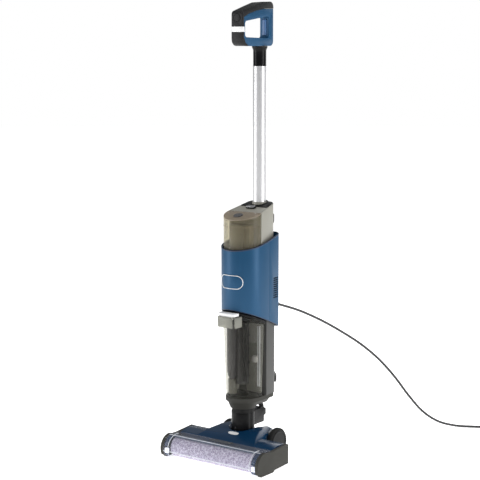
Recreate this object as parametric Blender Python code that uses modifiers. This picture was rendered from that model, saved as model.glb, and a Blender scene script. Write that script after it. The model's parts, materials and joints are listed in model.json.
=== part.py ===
"""Wet dry floor scrubber, upright and corded, built as an assembly of separate solids.

Units are metres, +Z is up, -Y is the front (the brush roller's side) and +X is the machine's left
hand as the user stands behind it, which is the right hand of a viewer in front.
The origin lies on the floor, under the centre of the machine's box without its cord.
"""

import math

import bmesh
import bpy
from mathutils import Matrix, Vector

# ---------------------------------------------------------------- driving dimensions
GAP = 0.0003                      # clearance between pieces that touch
RUNNING = 0.0006                  # clearance round pieces that turn or slide
HEIGHT = 1.180                    # floor to the top of the grip
SEGMENTS = 28                     # sides of a large round piece

# floor head
HEAD_WIDTH = 0.314
CAP_THICKNESS = 0.009
HEAD_REAR_Y = 0.000
HEAD_TOP_Z = 0.060                # top of the cover at its rear edge
HUMP_TOP_Z = 0.078                # top of the raised middle of the cover
COVER_WALL = 0.0025
ROLLER_Y = -0.1000
ROLLER_RADIUS = 0.0262
ROLLER_LIFT = 0.0006              # the nap stops this far above the floor
ROLLER_LENGTH = 0.262
NAP_DEPTH = 0.0062                # pile and its backing
TUBE_WALL = 0.0035                # wall of the roller's tube
CORE_RADIUS = ROLLER_RADIUS - NAP_DEPTH
WINDOW_RADIUS = 0.0350
WINDOW_WALL = 0.0020
WINDOW_REAR_Y = -0.0640
CAVITY_RADIUS = 0.0300
FLOOR_CLEARANCE = 0.007           # under the chassis
WHEEL_RADIUS = 0.0370
WHEEL_WIDTH = 0.018
WHEEL_OUTER_X = 0.086
WHEEL_Y = 0.061
AXLE_RADIUS = 0.0045
MOTOR_Y = -0.028
MOTOR_Z = 0.034
MOTOR_RADIUS = 0.0165
MOTOR_PULLEY_RADIUS = 0.0070
PULLEY_INSET = 0.0102             # from the nap's surface in to the roller's pulley
ROLLER_PULLEY_RADIUS = ROLLER_RADIUS - PULLEY_INSET
BELT_THICKNESS = 0.0016
BELT_WIDTH = 0.005

# neck
NECK_Y = 0.017
NECK_RADIUS = 0.0305
NECK_TOP_Z = 0.118
HINGE_Y = 0.046
HINGE_Z = 0.043
HINGE_PIN_RADIUS = 0.004
ARM_REAR_Y = 0.088
TURNTABLE_RADIUS = 0.034
DUCT_RADIUS = 0.014

# body
BODY_Y = 0.020                    # axis of the round front
BLUE_RADIUS = 0.0580
BLUE_CREASE_Y = 0.0545
BLUE_REAR_Y = 0.1175
BLUE_WALL = 0.0025
TANK_RADIUS = 0.0525              # clean tank
TANK_REAR_Y = 0.0260
TANK_BOTTOM_Z = 0.500
TANK_WALL = 0.0022
SPINE_TOP_REAR_Y = 0.1060
TOP_FRONT_Z = 0.6285              # slanted top of the clean tank, at its front
TOP_SLOPE = 0.25
CAP_Y = -0.004                    # filler cap, on the slanted top
LATCH_Y = 0.052                   # latch of the clean tank, on the slanted top
IMPELLER_Z = 0.450
RIM_FRONT_Z = 0.5475              # slanted upper rim of the blue housing, at its front
RIM_SLOPE = 0.225
HEM_FRONT_Z = 0.3955              # slanted lower hem of the blue housing, at its front
HEM_SLOPE = -0.40
DIRTY_RADIUS = 0.0550
DIRTY_TAPER = 0.85                # width of its foot as a share of its top's
DIRTY_REAR_Y = 0.0440
DIRTY_BOTTOM_Z = 0.1610
DIRTY_LID_THICKNESS = 0.006
SPINE_FRONT_Y = 0.0495
SPINE_REAR_Y = 0.1030
CUP_TOP_Z = 0.1600
CUP_BOTTOM_Z = 0.1290

# wand and grip
WAND_Y = 0.089
WAND_RADIUS = 0.0172
WAND_WALL = 0.0012
WAND_FOOT_Z = 0.560
WAND_TOP_Z = 1.015
GRIP_FRONT_Y = -0.008
GRIP_REAR_Y = 0.129
GRIP_BOTTOM_Z = 1.066
GRIP_HALF_WIDTH = 0.018
HOOK_REAR_Y = 0.135
HOOK_HALF_WIDTH = 0.025
HOOK_Z = 0.606                    # root of the turning hook

# power cord
CORD_RADIUS = 0.00325
CORD_EXIT = (0.028, BLUE_REAR_Y, 0.394)
COIL_MIDDLE_RADIUS = 0.050
COIL_BUNDLE = 0.034               # width and height of the bundle of turns

BIG = 0.5                         # longer than anything that a cutter crosses


# ---------------------------------------------------------------- helpers
def clear_scene():
    """Removes the objects that Blender starts with."""
    for item in list(bpy.data.objects):
        bpy.data.objects.remove(item)


def collection(name):
    """A new collection in the scene."""
    made = bpy.data.collections.new(name)
    bpy.context.scene.collection.children.link(made)
    return made


def material(name, colour, roughness, metallic=0.0, alpha=1.0):
    """A Principled material with one colour."""
    made = bpy.data.materials.new(name)
    made.use_nodes = True
    shader = made.node_tree.nodes["Principled BSDF"]
    shader.inputs["Base Color"].default_value = (*colour, 1.0)
    shader.inputs["Roughness"].default_value = roughness
    shader.inputs["Metallic"].default_value = metallic
    shader.inputs["Alpha"].default_value = alpha
    made.diffuse_color = (*colour, alpha)
    return made


def put(mesh, name, place, finish=None):
    """Links a new object with this mesh; with no finish it is a hidden cutter."""
    made = bpy.data.objects.new(name, mesh)
    place.objects.link(made)
    if finish:
        mesh.materials.clear()
        mesh.materials.append(finish)
        mesh.shade_smooth()
        mesh.set_sharp_from_angle(angle=math.radians(32))
    else:
        made.hide_render = True
        made.display_type = "WIRE"
    return made


def part(mesh, name, finish):
    """A visible piece of the machine."""
    return put(mesh, name, PARTS, finish)


def cutter(mesh, name):
    """A hidden helper for a Boolean."""
    return put(mesh, "cut_" + name, CUTTERS)


def boolean(piece, other, operation="DIFFERENCE"):
    """Cuts the other mesh from a piece, or joins it on."""
    added = piece.modifiers.new(operation.title(), "BOOLEAN")
    added.operation = operation
    added.object = other
    added.solver = "EXACT"
    return piece


def bevel(piece, width, segments=2, angle=40):
    """Rounds the sharp edges of a piece."""
    added = piece.modifiers.new("Bevel", "BEVEL")
    added.width = width
    added.segments = segments
    added.limit_method = "ANGLE"
    added.angle_limit = math.radians(angle)
    added.miter_outer = "MITER_ARC"
    return piece


def settled(piece):
    """Replaces a piece's mesh by its evaluated one, so that later cuts see the modifiers' result."""
    bpy.context.view_layer.update()
    graph = bpy.context.evaluated_depsgraph_get()
    mesh = bpy.data.meshes.new_from_object(piece.evaluated_get(graph))
    piece.modifiers.clear()
    piece.data = mesh
    return piece


def carried(name, point, pieces, under=None):
    """Hangs the pieces that a joint moves on an empty, which stands on the joint's axis."""
    axis = bpy.data.objects.new(name, None)
    axis.empty_display_size = 0.02
    axis.location = point
    PARTS.objects.link(axis)
    for piece in [bpy.data.objects[piece] for piece in pieces]:
        piece.parent = axis
        piece.matrix_parent_inverse = Matrix.Translation(-axis.location)
    if under:
        axis.parent = under
        axis.matrix_parent_inverse = Matrix.Translation(-under.location)
    return axis


def block_mesh(low, high):
    """A box between two corners."""
    mesh = bpy.data.meshes.new("block")
    shape = bmesh.new()
    bmesh.ops.create_cube(shape, size=1.0)
    low, high = Vector(low), Vector(high)
    for vertex in shape.verts:
        vertex.co = Vector((low[k] + (vertex.co[k] + 0.5) * (high[k] - low[k]) for k in range(3)))
    shape.to_mesh(mesh)
    shape.free()
    return mesh


AXIS_TURN = {
    "X": Matrix.Rotation(math.pi / 2, 4, "Y"),
    "Y": Matrix.Rotation(-math.pi / 2, 4, "X"),
    "Z": Matrix.Identity(4),
}


def rod_mesh(radius, start, length, axis="Z", top_radius=None, sides=SEGMENTS):
    """A cylinder or cone that runs from a point along an axis."""
    mesh = bpy.data.meshes.new("rod")
    shape = bmesh.new()
    bmesh.ops.create_cone(shape, cap_ends=True, segments=sides, radius1=radius,
                          radius2=radius if top_radius is None else top_radius, depth=length)
    bmesh.ops.translate(shape, verts=shape.verts, vec=(0, 0, length / 2))
    bmesh.ops.transform(shape, matrix=AXIS_TURN[axis], verts=shape.verts)
    bmesh.ops.translate(shape, verts=shape.verts, vec=start)
    bmesh.ops.recalc_face_normals(shape, faces=shape.faces)
    shape.to_mesh(mesh)
    shape.free()
    return mesh


def rounded(corners, steps=5):
    """An outline from corners (u, v, radius), each one an arc tangent to its two sides."""
    outline = []
    count = len(corners)
    for k, (u, v, radius) in enumerate(corners):
        here = Vector((u, v))
        if radius <= 0:
            outline.append(here)
            continue
        before = (Vector(corners[k - 1][:2]) - here).normalized()
        after = (Vector(corners[(k + 1) % count][:2]) - here).normalized()
        half = before.angle(after) / 2
        centre = here + (before + after).normalized() * radius / math.sin(half)
        first = here + before * radius / math.tan(half) - centre
        last = here + after * radius / math.tan(half) - centre
        turn = first.angle_signed(last)
        for step in range(steps + 1):
            angle = -turn * step / steps
            outline.append(centre + Matrix.Rotation(angle, 2) @ first)
    return outline


def arc(centre, radius, start, end, steps):
    """Points along an arc, from start to end degrees."""
    points = []
    for step in range(steps + 1):
        angle = math.radians(start + (end - start) * step / steps)
        points.append(Vector((centre[0] + radius * math.cos(angle), centre[1] + radius * math.sin(angle))))
    return points


PLANE_FRAME = {
    "XY": Matrix.Identity(4),
    "YZ": Matrix(((0, 0, 1, 0), (1, 0, 0, 0), (0, 1, 0, 0), (0, 0, 0, 1))),
    "XZ": Matrix(((1, 0, 0, 0), (0, 0, -1, 0), (0, 1, 0, 0), (0, 0, 0, 1))),
}


def slab_mesh(outlines, low, high, plane="XY"):
    """A filled outline, with holes if more outlines follow, extruded from low to high.

    The plane XZ is extruded along -Y, so there low and high are values of -Y.
    """
    curve = bpy.data.curves.new("outline", "CURVE")
    curve.dimensions = "2D"
    curve.fill_mode = "BOTH"
    curve.extrude = (high - low) / 2
    for outline in outlines:
        spline = curve.splines.new("POLY")
        spline.points.add(len(outline) - 1)
        for point, (u, v) in zip(spline.points, outline):
            point.co = (u, v, 0, 1)
        spline.use_cyclic_u = True
    holder = bpy.data.objects.new("outline", curve)
    bpy.context.scene.collection.objects.link(holder)
    bpy.context.view_layer.update()
    graph = bpy.context.evaluated_depsgraph_get()
    mesh = bpy.data.meshes.new_from_object(holder.evaluated_get(graph))
    bpy.data.objects.remove(holder)
    shape = bmesh.new()
    shape.from_mesh(mesh)
    bmesh.ops.remove_doubles(shape, verts=shape.verts, dist=0.00001)
    bmesh.ops.translate(shape, verts=shape.verts, vec=(0, 0, (high + low) / 2))
    bmesh.ops.transform(shape, matrix=PLANE_FRAME[plane], verts=shape.verts)
    bmesh.ops.recalc_face_normals(shape, faces=shape.faces)
    shape.to_mesh(mesh)
    shape.free()
    mesh.materials.clear()
    return mesh


def turned(name, profile, place, finish, centre=(0, 0, 0), axis="Z", sides=SEGMENTS):
    """A turned piece: a closed profile of (radius, height) that goes down its outer side."""
    mesh = bpy.data.meshes.new(name)
    points = [(radius, 0, height) for radius, height in profile]
    edges = [(k, k + 1) for k in range(len(points) - 1)]
    if profile[0][0] > 0:
        edges.append((len(points) - 1, 0))
    mesh.from_pydata(points, edges, [])
    made = bpy.data.objects.new(name, mesh)
    place.objects.link(made)
    screw = made.modifiers.new("Screw", "SCREW")
    screw.steps = screw.render_steps = sides
    screw.use_merge_vertices = True
    screw.merge_threshold = 0.00005
    screw.use_normal_calculate = True
    settled(made)
    made.data.transform(Matrix.Translation(centre) @ AXIS_TURN[axis])
    shape = bmesh.new()
    shape.from_mesh(made.data)
    bmesh.ops.recalc_face_normals(shape, faces=shape.faces)
    shape.to_mesh(made.data)
    shape.free()
    made.data.materials.clear()
    if finish:
        made.data.materials.append(finish)
        made.data.shade_smooth()
        made.data.set_sharp_from_angle(angle=math.radians(32))
    else:
        made.hide_render = True
        made.display_type = "WIRE"
    return made


def ring_profile(inner, outer, low, high, edge=0.0):
    """The closed profile of a tube, with its outer edges chamfered."""
    if edge <= 0:
        return [(inner, high), (outer, high), (outer, low), (inner, low)]
    return [(inner, high), (outer - edge, high), (outer, high - edge), (outer, low + edge), (outer - edge, low),
            (inner, low)]


def slope_cutter(name, z_front, slope, y_front, above=True):
    """A large block whose face is the plane z = z_front + slope * (y - y_front)."""
    mesh = block_mesh((-BIG, -BIG, 0), (BIG, BIG, BIG)) if above else block_mesh((-BIG, -BIG, -BIG), (BIG, BIG, 0))
    tilt = Matrix.Rotation(math.atan(slope), 4, "X")
    mesh.transform(Matrix.Translation((0, y_front, z_front)) @ tilt)
    return cutter(mesh, name)


def body_outline(radius, crease_y, rear_half, rear_y, corner):
    """The body's whole plan: a round front, straight sides to a crease and a narrower rear."""
    rear = rounded([(radius, crease_y, 0), (rear_half, rear_y, corner), (-rear_half, rear_y, corner),
                    (-radius, crease_y, 0)])
    return rear + arc((0, BODY_Y), radius, 180, 360, 18)


def front_outline(radius, rear_y, corner=0.0):
    """A round front with straight sides that end at a flat rear."""
    corner = min(corner, 0.8 * (rear_y - BODY_Y))
    rear = rounded([(radius, BODY_Y + 0.0002, 0), (radius, rear_y, corner), (-radius, rear_y, corner),
                    (-radius, BODY_Y + 0.0002, 0)], 3)
    return rear + arc((0, BODY_Y), radius, 180, 360, 18)


def tapered(mesh, low, high, foot_share):
    """Narrows a mesh towards its foot, about the body's axis."""
    for vertex in mesh.vertices:
        share = foot_share + (1 - foot_share) * (vertex.co.z - low) / (high - low)
        vertex.co.x *= share
        vertex.co.y = BODY_Y + (vertex.co.y - BODY_Y) * share
    return mesh


def smooth_line(points, spacing):
    """Evenly spaced points on a smooth curve through the given ones (Catmull-Rom)."""
    ends = [2 * points[0] - points[1]] + list(points) + [2 * points[-1] - points[-2]]
    fine = []
    for k in range(1, len(ends) - 2):
        a, b, c, d = ends[k - 1:k + 3]
        for step in range(24):
            t = step / 24
            fine.append(0.5 * (2 * b + (c - a) * t + (2 * a - 5 * b + 4 * c - d) * t * t
                               + (3 * b - a - 3 * c + d) * t ** 3))
    fine.append(points[-1])
    even, travelled, target = [fine[0]], 0.0, spacing
    for a, b in zip(fine, fine[1:]):
        step = (b - a).length
        while travelled + step >= target:
            even.append(a.lerp(b, (target - travelled) / step))
            target += spacing
        travelled += step
    if (even[-1] - fine[-1]).length < spacing / 2:
        even.pop()
    return even + [fine[-1]]


def tube_along(name, points, radius, finish, resolution=2):
    """A round bar that follows a list of points."""
    curve = bpy.data.curves.new(name, "CURVE")
    curve.dimensions = "3D"
    curve.bevel_depth = radius
    curve.bevel_resolution = resolution
    curve.use_fill_caps = True
    spline = curve.splines.new("POLY")
    spline.points.add(len(points) - 1)
    for point, place in zip(spline.points, points):
        point.co = (*place, 1)
    made = bpy.data.objects.new(name, curve)
    PARTS.objects.link(made)
    curve.materials.append(finish)
    return made


# ---------------------------------------------------------------- floor head
HALF_HEAD = HEAD_WIDTH / 2
INNER_X = HALF_HEAD - CAP_THICKNESS
ROLLER_Z = ROLLER_RADIUS + ROLLER_LIFT
ROLLER_AXIS = (ROLLER_Y, ROLLER_Z)
BAR_FRONT_Y = WINDOW_REAR_Y + GAP        # the blue cover begins behind the window
WHEEL_INNER_X = WHEEL_OUTER_X - WHEEL_WIDTH
TAIL_HALF = WHEEL_INNER_X - 0.0175       # half the width of the head between its wheels
TAIL_REAR_Y = 0.080
BELT_X = -(INNER_X - 0.008)              # middle of the drive belt


def side_caps():
    """Dark end caps: round over the roller, straight behind it, with a foot under the roller."""
    outline = arc((ROLLER_Y, ROLLER_Z - 0.003), WINDOW_RADIUS - 0.001, 210, 66, 12)
    outline += rounded([(WINDOW_REAR_Y, HEAD_TOP_Z - 0.005, 0.002), (HEAD_REAR_Y, HEAD_TOP_Z, 0.004),
                        (HEAD_REAR_Y, 0.008, 0.002), (-0.060, 0.005, 0.001), (-0.066, 0.0, 0.001),
                        (-0.1260, 0.0, 0.003)], 3)
    hollow = arc((ROLLER_Y, ROLLER_Z - 0.003), WINDOW_RADIUS - 0.004, 206, 66, 12)
    hollow += rounded([(WINDOW_REAR_Y, HEAD_TOP_Z - 0.0085, 0.002), (HEAD_REAR_Y - 0.003, HEAD_TOP_Z - 0.0035, 0.003),
                       (HEAD_REAR_Y - 0.003, 0.011, 0.002), (-0.064, 0.008, 0.001), (-0.1245, 0.004, 0.002)], 3)
    for side, name in ((-1, "side_cap_left"), (1, "side_cap_right")):
        edges = sorted((side * HALF_HEAD, side * INNER_X))
        cap = part(slab_mesh([outline], *edges, "YZ"), name, DARK_GREY)
        bevel(cap, 0.0012, 1, 50)
        depth = sorted((side * (HALF_HEAD - 0.0035), side * (INNER_X - 0.001)))
        boolean(cap, cutter(slab_mesh([hollow], *depth, "YZ"), name))


def chassis():
    """The head's lower shell: a floor, the wall behind the roller and a tail between the wheels."""
    half = INNER_X - GAP
    wall = arc(ROLLER_AXIS, CAVITY_RADIUS, -32, 48, 8)
    wall = [Vector((u, max(v, FLOOR_CLEARANCE))) for u, v in wall]
    rear = BAR_FRONT_Y - 0.0005
    back = [Vector((wall[-1][0] + 0.003, wall[-1][1] + 0.001)), Vector((rear, 0.042)), Vector((rear, 0.011)),
            Vector((HEAD_REAR_Y - 0.004, 0.011)), Vector((HEAD_REAR_Y - 0.004, FLOOR_CLEARANCE))]
    base = part(slab_mesh([wall + back], -half, half, "YZ"), "chassis", DARK_GREY)
    tail = rounded([(-TAIL_HALF, -0.02, 0), (TAIL_HALF, -0.02, 0), (TAIL_HALF, TAIL_REAR_Y - 0.004, 0.01),
                    (-TAIL_HALF, TAIL_REAR_Y - 0.004, 0.01)], 4)
    boolean(base, cutter(slab_mesh([tail], FLOOR_CLEARANCE, 0.0125, "XY"), "tail_floor"), "UNION")
    for side in (-1, 1):
        boss = rod_mesh(0.009, (side * (TAIL_HALF - 0.006), WHEEL_Y, WHEEL_RADIUS), side * 0.006, "X", sides=20)
        post = block_mesh((min(side * (TAIL_HALF - 0.006), side * TAIL_HALF), WHEEL_Y - 0.009, 0.009),
                          (max(side * (TAIL_HALF - 0.006), side * TAIL_HALF), WHEEL_Y + 0.009, WHEEL_RADIUS))
        reach = WHEEL_INNER_X + 0.0150 - (TAIL_HALF - 0.004)
        stub = rod_mesh(AXLE_RADIUS, (side * (TAIL_HALF - 0.004), WHEEL_Y, WHEEL_RADIUS), side * reach, "X", sides=24)
        for shape, name in ((post, "axle_post"), (boss, "axle_boss"), (stub, "axle")):
            boolean(base, cutter(shape, f"{name}_{side}"), "UNION")
    well = rod_mesh(TURNTABLE_RADIUS + RUNNING, (0, NECK_Y, 0.0095), 0.02, "Z")
    boolean(base, cutter(well, "turntable_well"))
    belt_room = block_mesh((-INNER_X - 0.001, ROLLER_Y + 0.005, 0.0135), (BELT_X + 0.0052, -0.058, 0.06))
    boolean(base, cutter(belt_room, "belt_room"))
    slot = block_mesh((-DUCT_RADIUS, -0.085, 0.014), (DUCT_RADIUS, -0.058, 0.030))
    boolean(base, cutter(slot, "suction_slot"))
    return base


def cover_body(offset):
    """The blue cover's outer form (offset 0) or its hollow (offset the wall)."""
    half = INNER_X - GAP - offset
    low = -0.0100 if offset else 0.0090
    bar = [Vector((BAR_FRONT_Y + offset, low)), Vector((BAR_FRONT_Y + offset, HEAD_TOP_Z - 0.005 - offset)),
           Vector((-0.036, HEAD_TOP_Z + 0.001 - offset)), Vector((HEAD_REAR_Y - 0.006, HEAD_TOP_Z - offset)),
           Vector((HEAD_REAR_Y - offset, HEAD_TOP_Z - 0.004 - offset)), Vector((HEAD_REAR_Y - offset, low))]
    bar_mesh = slab_mesh([bar], -half, half, "YZ")
    crest = [(BAR_FRONT_Y + 0.001 + offset, 0.0555), (-0.030, 0.0690), (0.000, HUMP_TOP_Z - 0.002),
             (0.030, HUMP_TOP_Z), (0.062, HUMP_TOP_Z - 0.004), (TAIL_REAR_Y - offset, 0.064)]
    hump = [Vector((y, z - offset)) for y, z in crest] + [Vector((y, low - 0.001)) for y, z in reversed(crest)]
    hump_mesh = slab_mesh([hump], -1.0, 1.0, "YZ")
    for vertex in hump_mesh.vertices:
        back = (vertex.co.y - BAR_FRONT_Y) / (TAIL_REAR_Y - BAR_FRONT_Y)
        high = max(0.0, (vertex.co.z - 0.030) / 0.045)
        width = 0.098 - 0.040 * min(1.0, back * 1.5) - 0.006 * high
        vertex.co.x = math.copysign(width - offset, vertex.co.x)
    return bar_mesh, hump_mesh


def head_cover():
    """The blue top shell of the head, with a slot for the neck that runs out at the rear."""
    bar, hump = cover_body(0.0)
    shell = bevel(part(bar, "head_cover", BLUE), 0.0025, 2, 50)
    boolean(shell, bevel(cutter(hump, "cover_hump"), 0.0040, 2, 40), "UNION")
    settled(shell)
    for number, hollow in enumerate(cover_body(COVER_WALL)):
        boolean(shell, cutter(hollow, f"cover_hollow_{number}"))
    slot_turn = NECK_RADIUS + 0.0025
    slot = rounded([(-NECK_RADIUS - 0.005, -0.019, slot_turn), (NECK_RADIUS + 0.005, -0.019, slot_turn),
                    (NECK_RADIUS + 0.005, 0.018, 0), (NECK_RADIUS + 0.0135, 0.036, 0), (NECK_RADIUS + 0.0135, BIG, 0),
                    (-NECK_RADIUS - 0.0135, BIG, 0), (-NECK_RADIUS - 0.0135, 0.036, 0),
                    (-NECK_RADIUS - 0.005, 0.018, 0)], 8)
    boolean(shell, cutter(slab_mesh([slot], 0.0, BIG, "XY"), "neck_slot"))
    for side in (-1, 1):
        bore = rod_mesh(0.0105, (side * 0.045, WHEEL_Y, WHEEL_RADIUS), side * 0.05, "X", sides=20)
        boolean(shell, cutter(bore, f"axle_gap_{side}"))
        well = rod_mesh(WHEEL_RADIUS + 0.0020, (side * (WHEEL_INNER_X - 0.0008), WHEEL_Y, WHEEL_RADIUS), side * 0.1, "X")
        boolean(shell, cutter(well, f"wheel_well_{side}"))
    belt_gap = block_mesh((-INNER_X - 0.01, BAR_FRONT_Y - 0.01, 0.0), (BELT_X + 0.0052, BAR_FRONT_Y + 0.01, 0.0480))
    boolean(shell, cutter(belt_gap, "belt_gap"))
    boolean(shell, cutter(block_mesh((-BIG, -BIG, -BIG), (BIG, BIG, 0.0130)), "cover_foot"))
    shell.data.set_sharp_from_angle(angle=math.radians(32))
    return shell


def brush_window():
    """The clear nozzle window: an arc over the roller that runs back flat to the blue cover."""
    centre = (ROLLER_Y, ROLLER_Z - 0.003)
    outer = arc(centre, WINDOW_RADIUS, 216, 72, 18) + [Vector((WINDOW_REAR_Y, HEAD_TOP_Z - 0.0045))]
    inner = [Vector((WINDOW_REAR_Y, HEAD_TOP_Z - 0.0045 - WINDOW_WALL))]
    inner += arc(centre, WINDOW_RADIUS - WINDOW_WALL, 72, 216, 18)
    half = INNER_X - GAP
    return part(slab_mesh([outer + inner], -half, half, "YZ"), "brush_window", CLEAR)


def headlights():
    """A white lamp behind each lower corner of the window."""
    for side, name in ((-1, "headlight_left"), (1, "headlight_right")):
        outer = side * (INNER_X - 0.002)
        inner = side * (INNER_X - 0.0135)
        lamp = part(block_mesh((min(outer, inner), ROLLER_Y - WINDOW_RADIUS + WINDOW_WALL + 0.0022, 0.0135),
                               (max(outer, inner), ROLLER_Y - 0.024, 0.0265)), name, LAMP)
        bevel(lamp, 0.0015, 2)


def brush_roller():
    """The nap sleeve on its core, with a driven end and an end with a pull handle."""
    half = ROLLER_LENGTH / 2
    start = (-half, ROLLER_Y, ROLLER_Z)
    turned("brush_roller", ring_profile(CORE_RADIUS + GAP, ROLLER_RADIUS, 0, ROLLER_LENGTH, 0.002), PARTS, NAP,
           start, "X")
    turned("roller_core", ring_profile(CORE_RADIUS - TUBE_WALL, CORE_RADIUS, -0.001, ROLLER_LENGTH + 0.001),
           PARTS, LIGHT_GREY, start, "X")
    flange, plug = CORE_RADIUS + 0.0015, CORE_RADIUS - TUBE_WALL - GAP
    end = [(0, 0.0075), (0.006, 0.0075), (0.006, 0.0042), (flange, 0.0042), (flange, 0.0012), (plug, 0.0012),
           (plug, -0.014), (0, -0.014)]
    grip = turned("roller_pull_end", end, PARTS, BLUE, (half + 0.0006, ROLLER_Y, ROLLER_Z), "X", 32)
    tab = block_mesh((half + 0.003, ROLLER_Y - 0.012, ROLLER_Z - 0.002),
                     (half + 0.0105, ROLLER_Y + 0.012, ROLLER_Z + 0.002))
    boolean(grip, cutter(tab, "pull_tab"), "UNION")


def brush_drive():
    """The motor behind the roller, with its toothed pulleys and belt at the left end."""
    motor_end = BELT_X + 0.010
    can = turned("brush_motor", [(0, 0.080), (0.013, 0.080), (MOTOR_RADIUS, 0.077), (MOTOR_RADIUS, 0.002),
                                 (0.015, 0), (0.0048, 0), (0.0048, -0.0025), (0.0026, -0.0025), (0.0026, 0.02),
                                 (0, 0.02)],
                 PARTS, STEEL, (motor_end, MOTOR_Y, MOTOR_Z), "X", 18)
    can.data.set_sharp_from_angle(angle=math.radians(32))
    low = BELT_X - BELT_WIDTH / 2
    high = BELT_X + BELT_WIDTH / 2
    pulley = [(0, 0.024), (0.0022, 0.024), (0.0022, 0.0065), (0.0085, 0.0065), (0.0085, 0.0055),
              (MOTOR_PULLEY_RADIUS, 0.0055), (MOTOR_PULLEY_RADIUS, -0.0005), (0.0085, -0.0005), (0.0085, -0.0015),
              (0, -0.0015)]
    turned("motor_pulley", pulley, PARTS, BRASS, (low, MOTOR_Y, MOTOR_Z), "X", 14)
    rim = ROLLER_PULLEY_RADIUS + 0.0015
    plug = CORE_RADIUS - TUBE_WALL - GAP
    flange = CORE_RADIUS - 0.001
    shaft = ROLLER_PULLEY_RADIUS - 0.004
    away = -ROLLER_LENGTH / 2 - low
    driven = [(0, away + 0.0144), (plug, away + 0.0144), (plug, away - 0.0016), (flange, away - 0.0016),
              (flange, away - 0.0040), (shaft, away - 0.0040), (shaft, 0.0065), (rim, 0.0065), (rim, 0.0055),
              (ROLLER_PULLEY_RADIUS, 0.0055), (ROLLER_PULLEY_RADIUS, -0.0005), (rim, -0.0005), (rim, -0.0015),
              (0, -0.0015)]
    turned("roller_drive_end", driven, PARTS, BLACK, (low, ROLLER_Y, ROLLER_Z), "X", 20)
    loops = []
    for extra in (RUNNING + BELT_THICKNESS, RUNNING):
        big, small = ROLLER_PULLEY_RADIUS + extra, MOTOR_PULLEY_RADIUS + extra
        along = Vector((MOTOR_Y - ROLLER_Y, MOTOR_Z - ROLLER_Z))
        lean = math.degrees(math.atan2(along.y, along.x))
        spread = math.degrees(math.acos((big - small) / along.length))
        loops.append(arc(ROLLER_AXIS, big, lean + spread, lean + 360 - spread, 20)
                     + arc((MOTOR_Y, MOTOR_Z), small, lean - spread, lean + spread, 10))
    part(slab_mesh(loops, low + 0.0001, high - 0.0001, "YZ"), "drive_belt", RUBBER)
    blade = block_mesh((-0.130, -0.0705, 0.0008), (0.130, -0.0685, FLOOR_CLEARANCE - GAP))
    part(blade, "squeegee", RUBBER)


def wheels():
    """Two rear wheels, each a rubber tyre on a plastic hub, on stub axles in the tail."""
    middle = WHEEL_WIDTH / 2
    for side, name in ((-1, "left"), (1, "right")):
        centre = (side * WHEEL_INNER_X + (0 if side > 0 else -WHEEL_WIDTH), WHEEL_Y, WHEEL_RADIUS)
        tyre = [(WHEEL_RADIUS - 0.005, WHEEL_WIDTH - 0.001), (WHEEL_RADIUS - 0.0025, WHEEL_WIDTH - 0.0015),
                (WHEEL_RADIUS, WHEEL_WIDTH - 0.005), (WHEEL_RADIUS, 0.005), (WHEEL_RADIUS - 0.0025, 0.0015),
                (WHEEL_RADIUS - 0.005, 0.001)]
        turned(f"tyre_{name}", tyre, PARTS, RUBBER, centre, "X", 30)
        rim = WHEEL_RADIUS - 0.005 - GAP
        bore = AXLE_RADIUS + RUNNING
        face = [(0.0, 0.0185), (0.012, 0.0190), (rim - 0.006, 0.0175), (rim - 0.0045, 0.0190), (rim, 0.0190),
                (rim, 0.0010), (rim - 0.003, 0.0010), (rim - 0.003, 0.0140), (bore + 0.004, 0.0150),
                (bore + 0.004, 0.0012), (bore, 0.0012), (bore, 0.0155), (0.0, 0.0155)]
        if side < 0:
            face = [(r, 2 * middle - h) for r, h in reversed(face)]
        turned(f"hub_{name}", face, PARTS, DARK_GREY, centre, "X", 30)


# ---------------------------------------------------------------- neck
EAR_X = NECK_RADIUS + 0.003       # inner face of the turntable's ears
EAR_THICKNESS = 0.0045


def turntable():
    """A disc that turns in the chassis, with two ears that carry the tilt hinge."""
    disc = part(rod_mesh(TURNTABLE_RADIUS, (0, NECK_Y, 0.0100), 0.0065), "turntable", DARK_GREY)
    hub = HINGE_PIN_RADIUS + 0.005
    ear = [Vector((HINGE_Y + hub * math.cos(math.radians(a)), HINGE_Z + hub * math.sin(math.radians(a))))
           for a in range(-20, 201, 20)]
    ear = [Vector((HINGE_Y + 0.0085, 0.0125))] + ear + [Vector((NECK_Y + 0.002, 0.0125))]
    for side in (-1, 1):
        edges = sorted((side * EAR_X, side * (EAR_X + EAR_THICKNESS)))
        boolean(disc, cutter(slab_mesh([ear], *edges, "YZ"), f"ear_{side}"), "UNION")
    side_x = EAR_X + EAR_THICKNESS - 0.0005
    foot = rounded([(-side_x, 0.012, 0.0), (side_x, 0.012, 0.0), (side_x, HINGE_Y + 0.0078, 0.003),
                    (-side_x, HINGE_Y + 0.0078, 0.003)], 3)
    boolean(disc, cutter(slab_mesh([foot], 0.0130, 0.0159, "XY"), "turntable_foot"), "UNION")
    boolean(disc, cutter(rod_mesh(DUCT_RADIUS, (0, NECK_Y, 0), 0.03), "turntable_duct"))
    for side in (-1, 1):
        pin = rod_mesh(HINGE_PIN_RADIUS, (side * (EAR_X - 0.0095), HINGE_Y, HINGE_Z), side * 0.0115, "X", sides=24)
        boolean(disc, cutter(pin, f"hinge_pin_{side}"), "UNION")


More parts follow.
